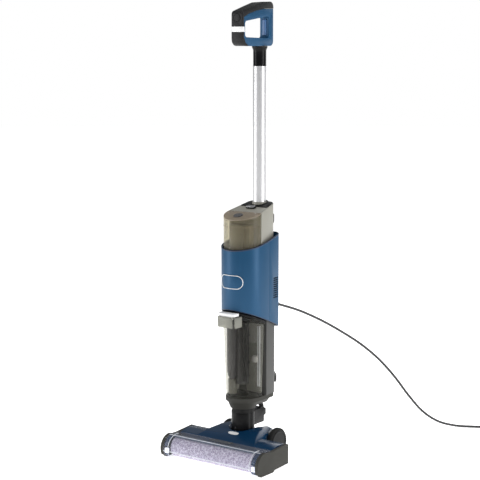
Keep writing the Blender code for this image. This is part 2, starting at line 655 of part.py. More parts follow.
def neck():
    """The dark neck tube, with a yoke at its foot for the hinge and an arm up its back."""
    bottom = 0.0580
    column = part(rod_mesh(NECK_RADIUS, (0, NECK_Y, bottom), NECK_TOP_Z - bottom), "neck", BLACK)
    low, step, high = HUMP_TOP_Z + 0.0015, 0.0960, NECK_TOP_Z - 0.0002
    arm = [Vector((NECK_Y + 0.010, low)), Vector((ARM_REAR_Y - 0.010, low)), Vector((ARM_REAR_Y - 0.008, low + 0.002)),
           Vector((ARM_REAR_Y - 0.008, step)), Vector((ARM_REAR_Y, step + 0.0025)), Vector((ARM_REAR_Y, high - 0.005)),
           Vector((ARM_REAR_Y - 0.008, high)), Vector((NECK_Y + 0.010, high))]
    boolean(column, cutter(slab_mesh([arm], -0.023, 0.023, "YZ"), "neck_arm"), "UNION")
    reach = HINGE_PIN_RADIUS + 0.0055
    yoke = arc((HINGE_Y, HINGE_Z), reach, -200, 20, 10)
    yoke += [Vector((HINGE_Y + 0.004, 0.0560)), Vector((NECK_Y + 0.015, 0.0665)), Vector((NECK_Y - 0.013, 0.0665)),
             Vector((NECK_Y - 0.004, 0.0570))]
    for side in (-1, 1):
        edges = sorted((side * (EAR_X - 0.0075), side * (EAR_X - RUNNING)))
        boolean(column, cutter(slab_mesh([yoke], *edges, "YZ"), f"yoke_{side}"), "UNION")
    pin_room = rod_mesh(HINGE_PIN_RADIUS + RUNNING, (-BIG, HINGE_Y, HINGE_Z), 2 * BIG, "X", sides=24)
    boolean(column, cutter(pin_room, "yoke_bores"))
    boolean(column, cutter(rod_mesh(DUCT_RADIUS + 0.008, (0, NECK_Y, 0.02), 0.2), "neck_duct"))
    turned("neck_collar", [(DUCT_RADIUS + 0.008, 0.0110 - GAP), (0.0290, 0.0110 - GAP), (0.0290, 0.0030),
                           (0.0300, 0), (DUCT_RADIUS + 0.008, 0)],
           PARTS, RUBBER, (0, NECK_Y, NECK_TOP_Z + GAP), "Z", 24)
    rings = [(DUCT_RADIUS - 0.003, 0.1000)]
    for k in range(6):
        low = 0.1000 - k * 0.0124
        rings += [(DUCT_RADIUS + 0.0035, low - 0.0020), (DUCT_RADIUS + 0.0035, low - 0.0060),
                  (DUCT_RADIUS + 0.0005, low - 0.0080), (DUCT_RADIUS + 0.0005, low - 0.0120)]
    rings += [(DUCT_RADIUS - 0.003, 0.1000 - 6 * 0.0124)]
    turned("suction_hose", rings, PARTS, RUBBER, (0, NECK_Y, 0), "Z", 16)


def rear_hose():
    """The black water and cable hose that loops behind the neck."""
    start = ARM_REAR_Y + GAP
    points = [Vector((0.0, start + y, z)) for y, z in (
        (0.0, 0.1040), (0.0045, 0.1040), (0.0100, 0.1068), (0.0115, 0.1125), (0.0085, 0.1190), (0.0040, 0.1240),
        (0.0020, 0.1275), (0.0020, CUP_BOTTOM_Z + 0.0025 - 2 * GAP))]
    line = smooth_line(points, 0.005)
    tube_along("rear_hose", [tuple(p) for p in line], 0.0065, RUBBER, 3)


# ---------------------------------------------------------------- lower body and dirty tank
BODY_FRONT_Y = BODY_Y - BLUE_RADIUS


def base_cup():
    """The dark cup under the dirty tank: it narrows to the neck and carries the spine."""
    plan = body_outline(DIRTY_RADIUS * DIRTY_TAPER + 0.0008, SPINE_FRONT_Y, 0.046, SPINE_REAR_Y, 0.020)
    cup = part(slab_mesh([plan], CUP_TOP_Z - 0.0115, CUP_TOP_Z, "XY"), "base_cup", DARK_GREY)
    bevel(cup, 0.003, 1, 60)
    funnel = rod_mesh(0.0335, (0, NECK_Y, CUP_BOTTOM_Z + GAP), CUP_TOP_Z - CUP_BOTTOM_Z - 0.0090, "Z", 0.0425)
    boolean(cup, cutter(funnel, "cup_funnel"), "UNION")
    shoe = rounded([(-0.042, 0.030, 0), (0.042, 0.030, 0), (0.040, SPINE_REAR_Y - 0.002, 0.014),
                    (-0.040, SPINE_REAR_Y - 0.002, 0.014)], 3)
    shoe = slab_mesh([shoe], CUP_BOTTOM_Z + 0.0025, CUP_TOP_Z - 0.008, "XY")
    for vertex in shoe.vertices:
        if vertex.co.z < CUP_BOTTOM_Z + 0.005:
            vertex.co.x *= 0.60
            vertex.co.y = 0.030 + 0.97 * (vertex.co.y - 0.030)
    boolean(cup, cutter(shoe, "cup_shoe"), "UNION")
    boolean(cup, cutter(rod_mesh(DUCT_RADIUS + 0.001, (0, NECK_Y, 0.1), 0.2), "cup_duct"))
    return cup


def spine():
    """The dark grey back of the machine, a channel from the cup up into the blue housing."""
    half, rear = 0.0520, SPINE_REAR_Y
    outline = rounded([(half, SPINE_FRONT_Y, 0.001), (0.0475, rear, 0.020), (-0.0475, rear, 0.020),
                       (-half, SPINE_FRONT_Y, 0.001)], 6)
    hollow = rounded([(half - 0.003, SPINE_FRONT_Y + 0.003, 0.001), (0.0445, rear - 0.003, 0.017),
                      (-0.0445, rear - 0.003, 0.017), (-half + 0.003, SPINE_FRONT_Y + 0.003, 0.001)], 6)
    back = part(slab_mesh([outline], CUP_TOP_Z + GAP, 0.3970, "XY"), "spine", DARK_GREY)
    boolean(back, cutter(slab_mesh([hollow], CUP_TOP_Z + 0.004, BIG, "XY"), "spine_hollow"))
    return back


def dirty_plan(inset=0.0):
    return front_outline(DIRTY_RADIUS - inset, DIRTY_REAR_Y - inset, 0.006)


def dirty_tank():
    """The clear tank for dirty water: a tapered cup whose top is cut on the slant of the hem."""
    low, high = DIRTY_BOTTOM_Z, 0.400
    lid_drop = 0.004 + DIRTY_LID_THICKNESS
    cup = part(tapered(slab_mesh([dirty_plan()], low, high), low, high, DIRTY_TAPER), "dirty_tank", CLEAR)
    hollow = tapered(slab_mesh([dirty_plan(TANK_WALL)], low + 0.003, BIG), low, high, DIRTY_TAPER)
    boolean(cup, cutter(hollow, "dirty_hollow"))
    boolean(cup, slope_cutter("dirty_top", HEM_FRONT_Z - lid_drop - GAP, HEM_SLOPE, BODY_FRONT_Y))
    pipe = rod_mesh(0.0115, (0, NECK_Y, low + 0.001), 0.0690, "Z", 0.0105, 28)
    boolean(cup, cutter(pipe, "inlet_pipe"), "UNION")
    boolean(cup, cutter(rod_mesh(0.0095, (0, NECK_Y, 0.1), 0.2, "Z", 0.0088, 28), "inlet_bore"))
    lid = part(tapered(slab_mesh([dirty_plan(-0.0008)], low, high), low, high, DIRTY_TAPER), "dirty_tank_lid", BLACK)
    boolean(lid, slope_cutter("lid_top", HEM_FRONT_Z - 0.004, HEM_SLOPE, BODY_FRONT_Y))
    boolean(lid, slope_cutter("lid_foot", HEM_FRONT_Z - lid_drop, HEM_SLOPE, BODY_FRONT_Y, False))
    boolean(lid, cutter(rod_mesh(0.022, (0, BODY_Y, 0.1), 0.4, "Z"), "lid_outlet"))
    separator = [(0.0162, 0.3550), (0.0180, 0.3550), (0.0180, 0.2050), (0.0172, 0.1930), (0.0158, 0.1930),
                 (0.0162, 0.2060)]
    turned("separator", separator, PARTS, SMOKE_DARK, (0, NECK_Y - 0.0035, 0), "Z", 20)
    flute = turned("float_ball", [(0, 0.020), (0.0060, 0.0185), (0.0085, 0.0150), (0.0085, 0.005), (0.0060, 0.0015),
                                  (0, 0)], PARTS, LIGHT_GREY, (0.0350, 0.0225, 0.250), "Z", 20)
    filter_disc = turned("tank_filter", ring_profile(0.006, 0.0208, 0.3625, 0.3900, 0.001), PARTS, FOAM,
                         (0, BODY_Y, 0), "Z", 32)
    return cup, lid, flute, filter_disc


def tank_grip():
    """The pale grip at the dirty tank's front, with the release button on its top."""
    front, rear, half = -0.0600, -0.0230, 0.0290
    low, high = 0.3520, 0.3850
    wall = 0.0022
    outline = rounded([(-half, rear, 0), (-half, front, 0.010), (half, front, 0.010), (half, rear, 0)], 5)
    inner = rounded([(-half + wall, rear - 0.05, 0), (-half + wall, front + wall, 0.008),
                     (half - wall, front + wall, 0.008), (half - wall, rear - 0.05, 0)], 5)
    inner = [Vector((u, rear + 0.001)) if abs(v - (rear - 0.05)) < 1e-6 else Vector((u, v)) for u, v in inner]
    grip = part(slab_mesh([outline], low, high - 0.0060, "XY"), "tank_grip", PALE)
    boolean(grip, cutter(slab_mesh([inner], low - 0.01, high - 0.0085, "XY"), "grip_hollow"))
    around = tapered(slab_mesh([dirty_plan(-GAP - 0.0008)], 0.30, 0.400), DIRTY_BOTTOM_Z, 0.400, DIRTY_TAPER)
    boolean(grip, cutter(around, "grip_seat"))
    boolean(grip, cutter(block_mesh((-0.019, front + 0.0060, high - 0.02), (0.019, front + 0.0180, high + 0.01)),
                         "button_well"))
    hood = rounded([(-half + 0.002, front + 0.002, 0.008), (half - 0.002, front + 0.002, 0.008),
                    (half - 0.002, BODY_FRONT_Y + 0.001, 0.001), (-half + 0.002, BODY_FRONT_Y + 0.001, 0.001)], 5)
    button = part(slab_mesh([hood], high - 0.0060 + 0.0030, high + 0.0035, "XY"), "tank_release", WHITE)
    stem = block_mesh((-0.019 + RUNNING, front + 0.0060 + RUNNING, high - 0.0110),
                      (0.019 - RUNNING, front + 0.0180 - RUNNING, high))
    boolean(button, cutter(stem, "button_stem"), "UNION")
    bevel(button, 0.0015, 2, 50)


# ---------------------------------------------------------------- blue housing and what it holds
def rear_path(half_crease, crease_y, rear_half, rear_y, corner):
    """The plan of the rear housing from crease to crease, round the back."""
    return rounded([(half_crease, crease_y, 0), (rear_half, rear_y, corner), (-rear_half, rear_y, corner),
                    (-half_crease, crease_y, 0)], 6)


def blue_housing():
    """The blue sleeve: a round front shell and a rear shell with vents, both cut on the slant."""
    wall = BLUE_WALL
    outer = [Vector((-BLUE_RADIUS, BLUE_CREASE_Y - GAP))] + arc((0, BODY_Y), BLUE_RADIUS, 180, 360, 24)
    outer += [Vector((BLUE_RADIUS, BLUE_CREASE_Y - GAP))]
    inner = [Vector((BLUE_RADIUS - wall, BLUE_CREASE_Y - GAP))] + arc((0, BODY_Y), BLUE_RADIUS - wall, 360, 180, 24)
    inner += [Vector((-BLUE_RADIUS + wall, BLUE_CREASE_Y - GAP))]
    front = part(slab_mesh([outer + inner], 0.28, 0.64, "XY"), "housing_front", BLUE)
    path = rear_path(BLUE_RADIUS, BLUE_CREASE_Y, 0.0500, BLUE_REAR_Y, 0.022)
    back = rear_path(BLUE_RADIUS - wall, BLUE_CREASE_Y, 0.0500 - wall, BLUE_REAR_Y - wall, 0.0195)
    rear = part(slab_mesh([path + list(reversed(back))], 0.28, 0.64, "XY"), "housing_rear", BLUE)
    for shell in (front, rear):
        boolean(shell, slope_cutter(shell.name + "_rim", RIM_FRONT_Z, RIM_SLOPE, BODY_FRONT_Y))
        boolean(shell, slope_cutter(shell.name + "_hem", HEM_FRONT_Z, HEM_SLOPE, BODY_FRONT_Y, False))
    vent_low, vent_pitch, vent_height = 0.415, 0.0056, 0.0030
    for side in (-1, 1):
        for row in range(10):
            z = vent_low + row * vent_pitch
            edges = sorted((side * 0.0455, side * 0.0620))
            slot = block_mesh((edges[0], 0.0760, z), (edges[1], 0.1010, z + vent_height))
            boolean(rear, cutter(slot, f"vent_{side}_{row}"))
    boolean(rear, cutter(rod_mesh(0.0062, (CORD_EXIT[0], BLUE_REAR_Y - 0.01, CORD_EXIT[2]), 0.02, "Y", sides=24),
                         "cord_hole"))
    pill = rounded([(-0.036, 0.450, 0.0179), (0.036, 0.450, 0.0179), (0.036, 0.486, 0.0179),
                    (-0.036, 0.486, 0.0179)], 6)
    badge = part(slab_mesh([pill], 0.0, 0.08, "XZ"), "badge_plate", WHITE)
    for name, radius in (("badge_outer", BLUE_RADIUS + 0.0014), ("badge_inner", BLUE_RADIUS + GAP)):
        rod = cutter(rod_mesh(radius, (0, BODY_Y, 0.40), 0.15, sides=72), name)
        boolean(badge, rod, "INTERSECT" if name == "badge_outer" else "DIFFERENCE")


def motor_bay():
    """The suction motor's housing, between the two tanks, with its fan, pump and circuit board."""
    deck_low, deck_high = 0.4900, TANK_BOTTOM_Z - GAP
    plan = body_outline(TANK_RADIUS + 0.0018, BLUE_CREASE_Y - 0.002, 0.0440, SPINE_TOP_REAR_Y + 0.002, 0.020)
    bay = part(slab_mesh([plan], deck_low, deck_high, "XY"), "motor_bay", BLACK)
    wall = turned("cut_bay_wall", [(0.0460, 0.4950), (0.0460, 0.4100), (0.0240, 0.4000), (0.0240, 0.3975),
                                   (0.0210, 0.3975), (0.0210, 0.4020), (0.0435, 0.4125), (0.0435, 0.4950)],
                  CUTTERS, None, (0, BODY_Y - 0.003, 0), "Z", 24)
    boolean(bay, wall, "UNION")
    can = [(0.0038, 0.4860), (0.0280, 0.4860), (0.0310, 0.4830), (0.0310, 0.4420), (0.0280, 0.4390), (0.0038, 0.4390)]
    turned("suction_motor", can, PARTS, STEEL, (0, BODY_Y - 0.003, 0), "Z", 18)
    fan = [(0, 0.4880), (0.0032, 0.4880), (0.0032, 0.4330), (0.0080, 0.4320), (0.0120, 0.4240), (0.0380, 0.4215),
           (0.0380, 0.4195), (0, 0.4195)]
    impeller = turned("impeller", fan, PARTS, LIGHT_GREY, (0, BODY_Y - 0.003, 0), "Z", 18)
    for blade in range(7):
        vane = block_mesh((0.0090, -0.0007, 0.4205), (0.0370, 0.0007, 0.4300))
        turn = Matrix.Rotation(2 * math.pi * blade / 7, 4, "Z")
        vane.transform(Matrix.Translation((0, BODY_Y - 0.003, 0)) @ turn)
        boolean(impeller, cutter(vane, f"vane_{blade}"), "UNION")
    pump = part(block_mesh((-0.040, 0.0640, 0.4150), (-0.008, 0.0900, 0.4600)), "water_pump", BLACK)
    bevel(pump, 0.003, 2)
    spout = rod_mesh(0.004, (-0.024, 0.077, 0.458), 0.014, "Z", sides=16)
    boolean(pump, cutter(spout, "pump_spout"), "UNION")


def tank_top(y):
    """Height of the slanted top of the clean tank."""
    return TOP_FRONT_Z + TOP_SLOPE * (y - BODY_Y + TANK_RADIUS)


def clean_tank():
    """The smoke-clear water tank: an open cup, its slanted lid, its filler cap and its valve."""
    cup = part(slab_mesh([front_outline(TANK_RADIUS, TANK_REAR_Y, 0.004)], TANK_BOTTOM_Z, 0.70, "XY"),
               "clean_tank", SMOKE)
    hollow = front_outline(TANK_RADIUS - TANK_WALL, TANK_REAR_Y - TANK_WALL, 0.003)
    boolean(cup, cutter(slab_mesh([hollow], TANK_BOTTOM_Z + 0.003, 0.75, "XY"), "clean_hollow"))
    tank_front_y = BODY_Y - TANK_RADIUS
    lid_thickness = 0.0035
    boolean(cup, slope_cutter("clean_top", TOP_FRONT_Z - lid_thickness - GAP, TOP_SLOPE, tank_front_y))
    lid = part(slab_mesh([front_outline(TANK_RADIUS, TANK_REAR_Y, 0.004)], TANK_BOTTOM_Z, 0.70, "XY"),
               "clean_tank_lid", SMOKE)
    boolean(lid, slope_cutter("clean_lid_top", TOP_FRONT_Z, TOP_SLOPE, tank_front_y))
    boolean(lid, slope_cutter("clean_lid_foot", TOP_FRONT_Z - lid_thickness, TOP_SLOPE, tank_front_y, False))
    valve = turned("tank_valve", [(0, 0.0160), (0.0060, 0.0160), (0.0090, 0.0130), (0.0090, 0.0), (0, 0.0)],
                   PARTS, RUBBER, (0, 0.0, TANK_BOTTOM_Z + 0.0033), "Z", 24)
    tilt = Matrix.Translation((0, CAP_Y, tank_top(CAP_Y))) @ Matrix.Rotation(math.atan(TOP_SLOPE), 4, "X")
    cap = turned("filler_cap", [(0, 0.0030), (0.0110, 0.0030), (0.0125, 0.0018), (0.0125, GAP), (0, GAP)],
                 PARTS, SMOKE_DARK, (0, 0, 0), "Z", 32)
    cap.data.transform(tilt)
    return cup, lid, valve


def spine_top():
    """The grey back of the upper body, hollow, with the wand's socket in it."""
    half = TANK_RADIUS - 0.0005
    front_y = TANK_REAR_Y + GAP
    plan = rounded([(half, front_y, 0.001), (0.0395, SPINE_TOP_REAR_Y, 0.020), (-0.0395, SPINE_TOP_REAR_Y, 0.020),
                    (-half, front_y, 0.001)], 6)
    hollow = rounded([(half - 0.0025, front_y + 0.0025, 0.001), (0.0370, SPINE_TOP_REAR_Y - 0.0025, 0.0175),
                      (-0.0370, SPINE_TOP_REAR_Y - 0.0025, 0.0175), (-half + 0.0025, front_y + 0.0025, 0.001)], 6)
    back = part(slab_mesh([plan], TANK_BOTTOM_Z, 0.70, "XY"), "spine_top", MID_GREY)
    tank_front_y = BODY_Y - TANK_RADIUS
    boolean(back, slope_cutter("spine_top_cut", TOP_FRONT_Z, TOP_SLOPE, tank_front_y))
    inside = slab_mesh([hollow], TANK_BOTTOM_Z - 0.01, 0.70, "XY")
    inside = settled(boolean(cutter(inside, "spine_top_inside"),
                             slope_cutter("inside_cut", TOP_FRONT_Z - 0.004, TOP_SLOPE, tank_front_y)))
    boolean(back, inside)
    socket = rod_mesh(WAND_RADIUS + 0.0021, (0, WAND_Y, 0.5500), 0.1140, "Z")
    boolean(back, cutter(socket, "socket"), "UNION")
    boolean(back, cutter(rod_mesh(WAND_RADIUS + GAP, (0, WAND_Y, 0.5550), 0.3), "socket_bore"))
    tilt = Matrix.Translation((0.0, LATCH_Y, tank_top(LATCH_Y))) @ Matrix.Rotation(math.atan(TOP_SLOPE), 4, "X")
    latch = block_mesh((-0.013, -0.006, GAP), (0.013, 0.006, 0.0050))
    latch.transform(tilt)
    bevel(part(latch, "tank_latch", BLACK), 0.0015, 2)


# ---------------------------------------------------------------- wand and grip
def wand():
    """The aluminium tube and the black collar that joins it to the grip."""
    turned("wand_tube", ring_profile(WAND_RADIUS - WAND_WALL, WAND_RADIUS, WAND_FOOT_Z, WAND_TOP_Z), PARTS,
           ALUMINIUM, (0, WAND_Y, 0), "Z", 28)
    inside = WAND_RADIUS - WAND_WALL - GAP
    collar = [(0, GRIP_BOTTOM_Z - GAP), (0.0205, GRIP_BOTTOM_Z - GAP), (0.0200, GRIP_BOTTOM_Z - 0.004),
              (0.0170, GRIP_BOTTOM_Z - 0.010), (0.0168, WAND_TOP_Z + GAP), (inside, WAND_TOP_Z + GAP),
              (inside, WAND_TOP_Z - 0.040), (0, WAND_TOP_Z - 0.040)]
    turned("wand_collar", collar, PARTS, BLACK, (0, WAND_Y, 0), "Z", 28)


def narrowed(mesh):
    """Makes the grip's rear leg slimmer than its front."""
    for vertex in mesh.vertices:
        back = (vertex.co.y - GRIP_FRONT_Y - 0.015) / (GRIP_REAR_Y - GRIP_FRONT_Y)
        vertex.co.x *= 1 - 0.22 * max(0.0, back)
    return mesh


def grip():
    """The closed loop grip: a blue frame, and a black cover over its top and front."""
    front, rear, low = GRIP_FRONT_Y, GRIP_REAR_Y, GRIP_BOTTOM_Z
    half = GRIP_HALF_WIDTH
    crown = [Vector((rear - 0.016, HEIGHT)), Vector((0.075, HEIGHT - 0.0035)), Vector((0.040, HEIGHT - 0.0135))]
    opening = rounded([(front + 0.0105, low + 0.0225, 0.008), (rear - 0.0190, low + 0.0195, 0.008),
                       (rear - 0.0190, HEIGHT - 0.0375, 0.008), (front + 0.0105, HEIGHT - 0.0520, 0.008)])
    seam = [Vector((rear, HEIGHT - 0.0185)), Vector((0.090, HEIGHT - 0.0195)), Vector((0.055, HEIGHT - 0.0240)),
            Vector((0.020, HEIGHT - 0.0320)), Vector((front + 0.0055, HEIGHT - 0.0410)),
            Vector((front + 0.0055, low + 0.022)), Vector((front + 0.013, low + 0.008)), Vector((front + 0.026, low))]
    rear_top = rounded([(rear, HEIGHT - 0.0185, 0), (rear, HEIGHT, 0.014), (0.075, HEIGHT - 0.0035, 0)])[1:-1]
    front_turn = rounded([(0.040, HEIGHT - 0.0135, 0), (front, HEIGHT - 0.0280, 0.010), (front, low, 0.018),
                          (front + 0.026, low, 0)])[1:-1]
    shell = seam[:1] + rear_top + crown[1:] + front_turn + seam[:0:-1]
    cover = part(narrowed(slab_mesh([shell], -half, half, "YZ")), "grip_cover", BLACK)
    frame_outline = rounded([(front + 0.0265, low, 0), (rear, low, 0.013), (rear, HEIGHT - 0.0185 - GAP, 0)])
    drops = [(0, -1.3)] * 3 + [(1.3, -1.3), (1.3, 0), (1.3, 1.0)]
    frame_outline += [p + Vector(drop) * GAP for p, drop in zip(seam[1:-1], drops)]
    frame = part(narrowed(slab_mesh([frame_outline, opening], -half + 0.0006, half - 0.0006, "YZ")), "grip_frame",
                 BLUE)
    bevel(frame, 0.0035, 2, 50)
    bevel(cover, 0.0035, 2, 50)
    radius, z = 0.0100, HEIGHT - 0.0430
    boolean(cover, cutter(rod_mesh(radius + RUNNING, (0, front - 0.002, z), 0.0065, "Y", sides=32), "button_well"))
    button = [(0, 0.0026), (radius, 0.0026), (radius, -0.0006), (radius - 0.0008, -0.0014), (0, -0.0014)]
    turned("power_button", button, PARTS, BLACK, (0, front, z), "Y", 32)
    grip_y = rear - 0.0190
    trigger_low, trigger_high = low + 0.0270, HEIGHT - 0.0460
    room = block_mesh((-0.0066, grip_y - 0.002, trigger_low - RUNNING),
                      (0.0066, grip_y + 0.0075, trigger_high + RUNNING))
    boolean(frame, cutter(room, "trigger_room"))
    lever = part(block_mesh((-0.0060, grip_y - 0.0036, trigger_low), (0.0060, grip_y + 0.0030, trigger_high)),
                 "spray_trigger", PALE_BLUE)
    bevel(lever, 0.0015, 2)
    back = front + 0.0060
    outer = rounded([(half + 0.0010, back, 0), (half + 0.0010, front - 0.0010, 0.0045),
                     (-half - 0.0010, front - 0.0010, 0.0045), (-half - 0.0010, back, 0)], 4)
    inner = rounded([(-half - GAP, back, 0), (-half - GAP, front - GAP, 0.0038), (half + GAP, front - GAP, 0.0038),
                     (half + GAP, back, 0)], 4)
    around = rounded([(half + 0.01, back + 0.003, 0), (half + 0.01, front - 0.01, 0.001),
                      (-half - 0.01, front - 0.01, 0.001), (-half - 0.01, back + 0.003, 0)], 1)
    seat = rounded([(-half, back + 0.003, 0), (-half, front, 0.0042), (half, front, 0.0042),
                    (half, back + 0.003, 0)], 4)
    boolean(cover, cutter(slab_mesh([around + seat], 1.1011, 1.1149, "XY"), "band_seat"))
    part(slab_mesh([outer + inner], 1.1015, 1.1145, "XY"), "grip_band", WHITE)


def hooks():
    """The two cord hooks at the back: the upper one turns, the lower one is fixed."""
    def hook_profile(y0, z0, lip):
        """A bracket from the wall y0 at height z0 that rises (lip > 0) or falls at its free end."""
        reach = HOOK_REAR_Y - y0
        return [Vector((y0, z0 - lip * 0.012)), Vector((y0 + reach * 0.75, z0 - lip * 0.007)),
                Vector((y0 + reach, z0 + lip * 0.002)), Vector((y0 + reach, z0 + lip * 0.020)),
                Vector((y0 + reach - 0.003, z0 + lip * 0.024)), Vector((y0 + reach - 0.005, z0 + lip * 0.019)),
                Vector((y0 + reach - 0.0055, z0 + lip * 0.006)), Vector((y0 + reach * 0.55, z0 - lip * 0.0005)),
                Vector((y0, z0))]
    upper = hook_profile(WAND_Y + WAND_RADIUS + 0.0021 + RUNNING, HOOK_Z, 1)
    hook = part(slab_mesh([upper], -0.016, 0.016, "YZ"), "cord_hook_upper", BLACK)
    bevel(hook, 0.0012, 1, 50)
    lower = hook_profile(SPINE_REAR_Y + GAP, 0.199, -1)
    hook = part(slab_mesh([lower], -HOOK_HALF_WIDTH, HOOK_HALF_WIDTH, "YZ"), "cord_hook_lower", DARK_GREY)
    bevel(hook, 0.0012, 1, 50)


# ---------------------------------------------------------------- power cord
CORD_ROUTE = [Vector(p) for p in (
    (0.0280, 0.1380, 0.3868), (0.0310, 0.1650, 0.3780), (0.0380, 0.2000, 0.3655), (0.0500, 0.2400, 0.3480),
    (0.0740, 0.2920, 0.3190), (0.1040, 0.3440, 0.2830), (0.1350, 0.3900, 0.2450), (0.1660, 0.4300, 0.2010),
    (0.1960, 0.4640, 0.1500), (0.2240, 0.4930, 0.0960), (0.2540, 0.5210, 0.0490), (0.2880, 0.5500, 0.0190),
    (0.3260, 0.5790, 0.0065), (0.3650, 0.6060, CORD_RADIUS + GAP),
    (0.4050, 0.6280, CORD_RADIUS + GAP), (0.4480, 0.6400, CORD_RADIUS + GAP))]
COIL_CENTRE = (0.4480, 0.6400 + COIL_MIDDLE_RADIUS + COIL_BUNDLE / 2 + CORD_RADIUS + 0.0004)


def power_cord():
    """The cord's gland, its free stretch down to the floor, its coil and its plug."""
    x, y, z = CORD_EXIT
    gland = [(0.0, 0.0220), (0.0045, 0.0220), (0.0052, 0.0100), (0.0078, 0.0060), (0.0078, 0.0015),
             (0.0058, 0.0015), (0.0058, -0.0060), (0.0, -0.0060)]
    turned("cord_gland", gland, PARTS, RUBBER, (x, y - 0.0008, z), "Y", 20)
    guard = bpy.data.objects["cord_gland"]
    lean = Matrix.Rotation(math.radians(-20), 4, "X")
    for vertex in guard.data.vertices:
        if vertex.co.y > y + 0.008:
            vertex.co = Vector((x, y, z)) + lean @ (vertex.co - Vector((x, y, z)))
    line = smooth_line(CORD_ROUTE, 0.0190)
    tube_along("power_cord", [tuple(p) for p in line], CORD_RADIUS, RUBBER, 2)
    half = COIL_BUNDLE / 2
    inner, outer = COIL_MIDDLE_RADIUS - half, COIL_MIDDLE_RADIUS + half
    cut = 0.008
    ring = [(inner + cut, COIL_BUNDLE), (outer - cut, COIL_BUNDLE), (outer, COIL_BUNDLE - cut), (outer, cut),
            (outer - cut, 0), (inner + cut, 0), (inner, cut), (inner, COIL_BUNDLE - cut)]
    ring = [(r, h + GAP) for r, h in ring]
    turned("cord_coil", ring, PARTS, RUBBER, (*COIL_CENTRE, 0), "Z", 28)
    plug_y = COIL_CENTRE[1]
    plug_z = COIL_BUNDLE + 0.0165
    body = part(block_mesh((COIL_CENTRE[0] - 0.030, plug_y - 0.019, COIL_BUNDLE + 3 * GAP),
                           (COIL_CENTRE[0] + 0.018, plug_y + 0.019, COIL_BUNDLE + 0.030)), "plug", BLACK)
    bevel(body, 0.005, 2)
    settled(body)
    for dy in (-0.011, 0.011):
        pin = block_mesh((COIL_CENTRE[0] + 0.015, plug_y + dy - 0.0032, plug_z - 0.002),
                         (COIL_CENTRE[0] + 0.036, plug_y + dy + 0.0032, plug_z + 0.002))
        boolean(body, cutter(pin, f"plug_pin_{dy}"), "UNION")


# ---------------------------------------------------------------- joints
def joints():
    """Each moving group on its own axis, each axis under the one that carries it."""
    carried("window_axis", (0, ROLLER_Y, ROLLER_Z), ["brush_window"])
    carried("brush_axis", (0, ROLLER_Y, ROLLER_Z),
            ["brush_roller", "roller_core", "roller_drive_end", "roller_pull_end"])
    carried("pulley_axis", (0, MOTOR_Y, MOTOR_Z), ["motor_pulley"])
    for side, name in ((-1, "left"), (1, "right")):
        carried(f"wheel_{name}_axis", (side * (WHEEL_OUTER_X - WHEEL_WIDTH / 2), WHEEL_Y, WHEEL_RADIUS),
                [f"tyre_{name}", f"hub_{name}"])
    swivel = carried("swivel_axis", (0, NECK_Y, 0), ["turntable", "power_cord", "cord_coil", "plug"])
    upper = carried("tilt_axis", (0, HINGE_Y, HINGE_Z), [
        "neck", "neck_collar", "suction_hose", "rear_hose", "base_cup", "spine", "housing_front", "housing_rear",
        "badge_plate", "motor_bay", "suction_motor", "water_pump", "spine_top", "wand_tube", "wand_collar",
        "grip_cover", "grip_frame", "grip_band", "cord_hook_lower", "cord_gland"], swivel)
    dirty = carried("dirty_tank_axis", (0, NECK_Y, DIRTY_BOTTOM_Z),
                    ["dirty_tank", "dirty_tank_lid", "separator", "tank_filter", "tank_grip"], upper)
    carried("float_axis", (0, NECK_Y, DIRTY_BOTTOM_Z), ["float_ball"], dirty)
    carried("release_axis", (0, NECK_Y, DIRTY_BOTTOM_Z), ["tank_release"], dirty)
    clean = carried("clean_tank_axis", (0, BODY_Y, TANK_BOTTOM_Z), ["clean_tank", "clean_tank_lid", "tank_valve"],
                    upper)
    carried("cap_axis", (0, CAP_Y, tank_top(CAP_Y)), ["filler_cap"], clean)
    carried("latch_axis", (0, LATCH_Y, tank_top(LATCH_Y)), ["tank_latch"], upper)
    carried("fan_axis", (0, BODY_Y - 0.003, IMPELLER_Z), ["impeller"], upper)
    carried("hook_axis", (0, HOOK_REAR_Y, HOOK_Z), ["cord_hook_upper"], upper)
    carried("power_axis", (0, GRIP_FRONT_Y, GRIP_BOTTOM_Z), ["power_button"], upper)
    carried("trigger_axis", (0, GRIP_REAR_Y, GRIP_BOTTOM_Z), ["spray_trigger"], upper)


# ---------------------------------------------------------------- assembly
clear_scene()
PARTS = collection("floor_scrubber")
CUTTERS = collection("cutters")
BLUE = material("satin_blue", (0.045, 0.125, 0.260), 0.35)
DARK_GREY = material("dark_grey_plastic", (0.085, 0.085, 0.082), 0.45)
MID_GREY = material("mid_grey_plastic", (0.30, 0.30, 0.285), 0.30)
LIGHT_GREY = material("light_grey_plastic", (0.45, 0.45, 0.45), 0.40)
BLACK = material("black_plastic", (0.022, 0.022, 0.024), 0.35)
RUBBER = material("black_rubber", (0.018, 0.018, 0.018), 0.60)
WHITE = material("white_plastic", (0.82, 0.82, 0.82), 0.30)
PALE = material("pale_translucent", (0.62, 0.62, 0.56), 0.25, 0.0, 0.75)
PALE_BLUE = material("light_blue_plastic", (0.16, 0.30, 0.52), 0.35)
LAMP = material("lamp_lens", (0.95, 0.95, 0.97), 0.15)
CLEAR = material("clear_plastic", (0.80, 0.82, 0.84), 0.08, 0.0, 0.30)
SMOKE = material("smoke_plastic", (0.42, 0.40, 0.34), 0.08, 0.0, 0.50)
SMOKE_DARK = material("dark_smoke_plastic", (0.12, 0.12, 0.12), 0.25)
STEEL = material("steel", (0.55, 0.55, 0.56), 0.30, 1.0)
ALUMINIUM = material("brushed_aluminium", (0.85, 0.85, 0.86), 0.28, 1.0)
BRASS = material("brass", (0.62, 0.46, 0.20), 0.30, 1.0)
NAP = material("microfibre_nap", (0.68, 0.64, 0.74), 0.95)
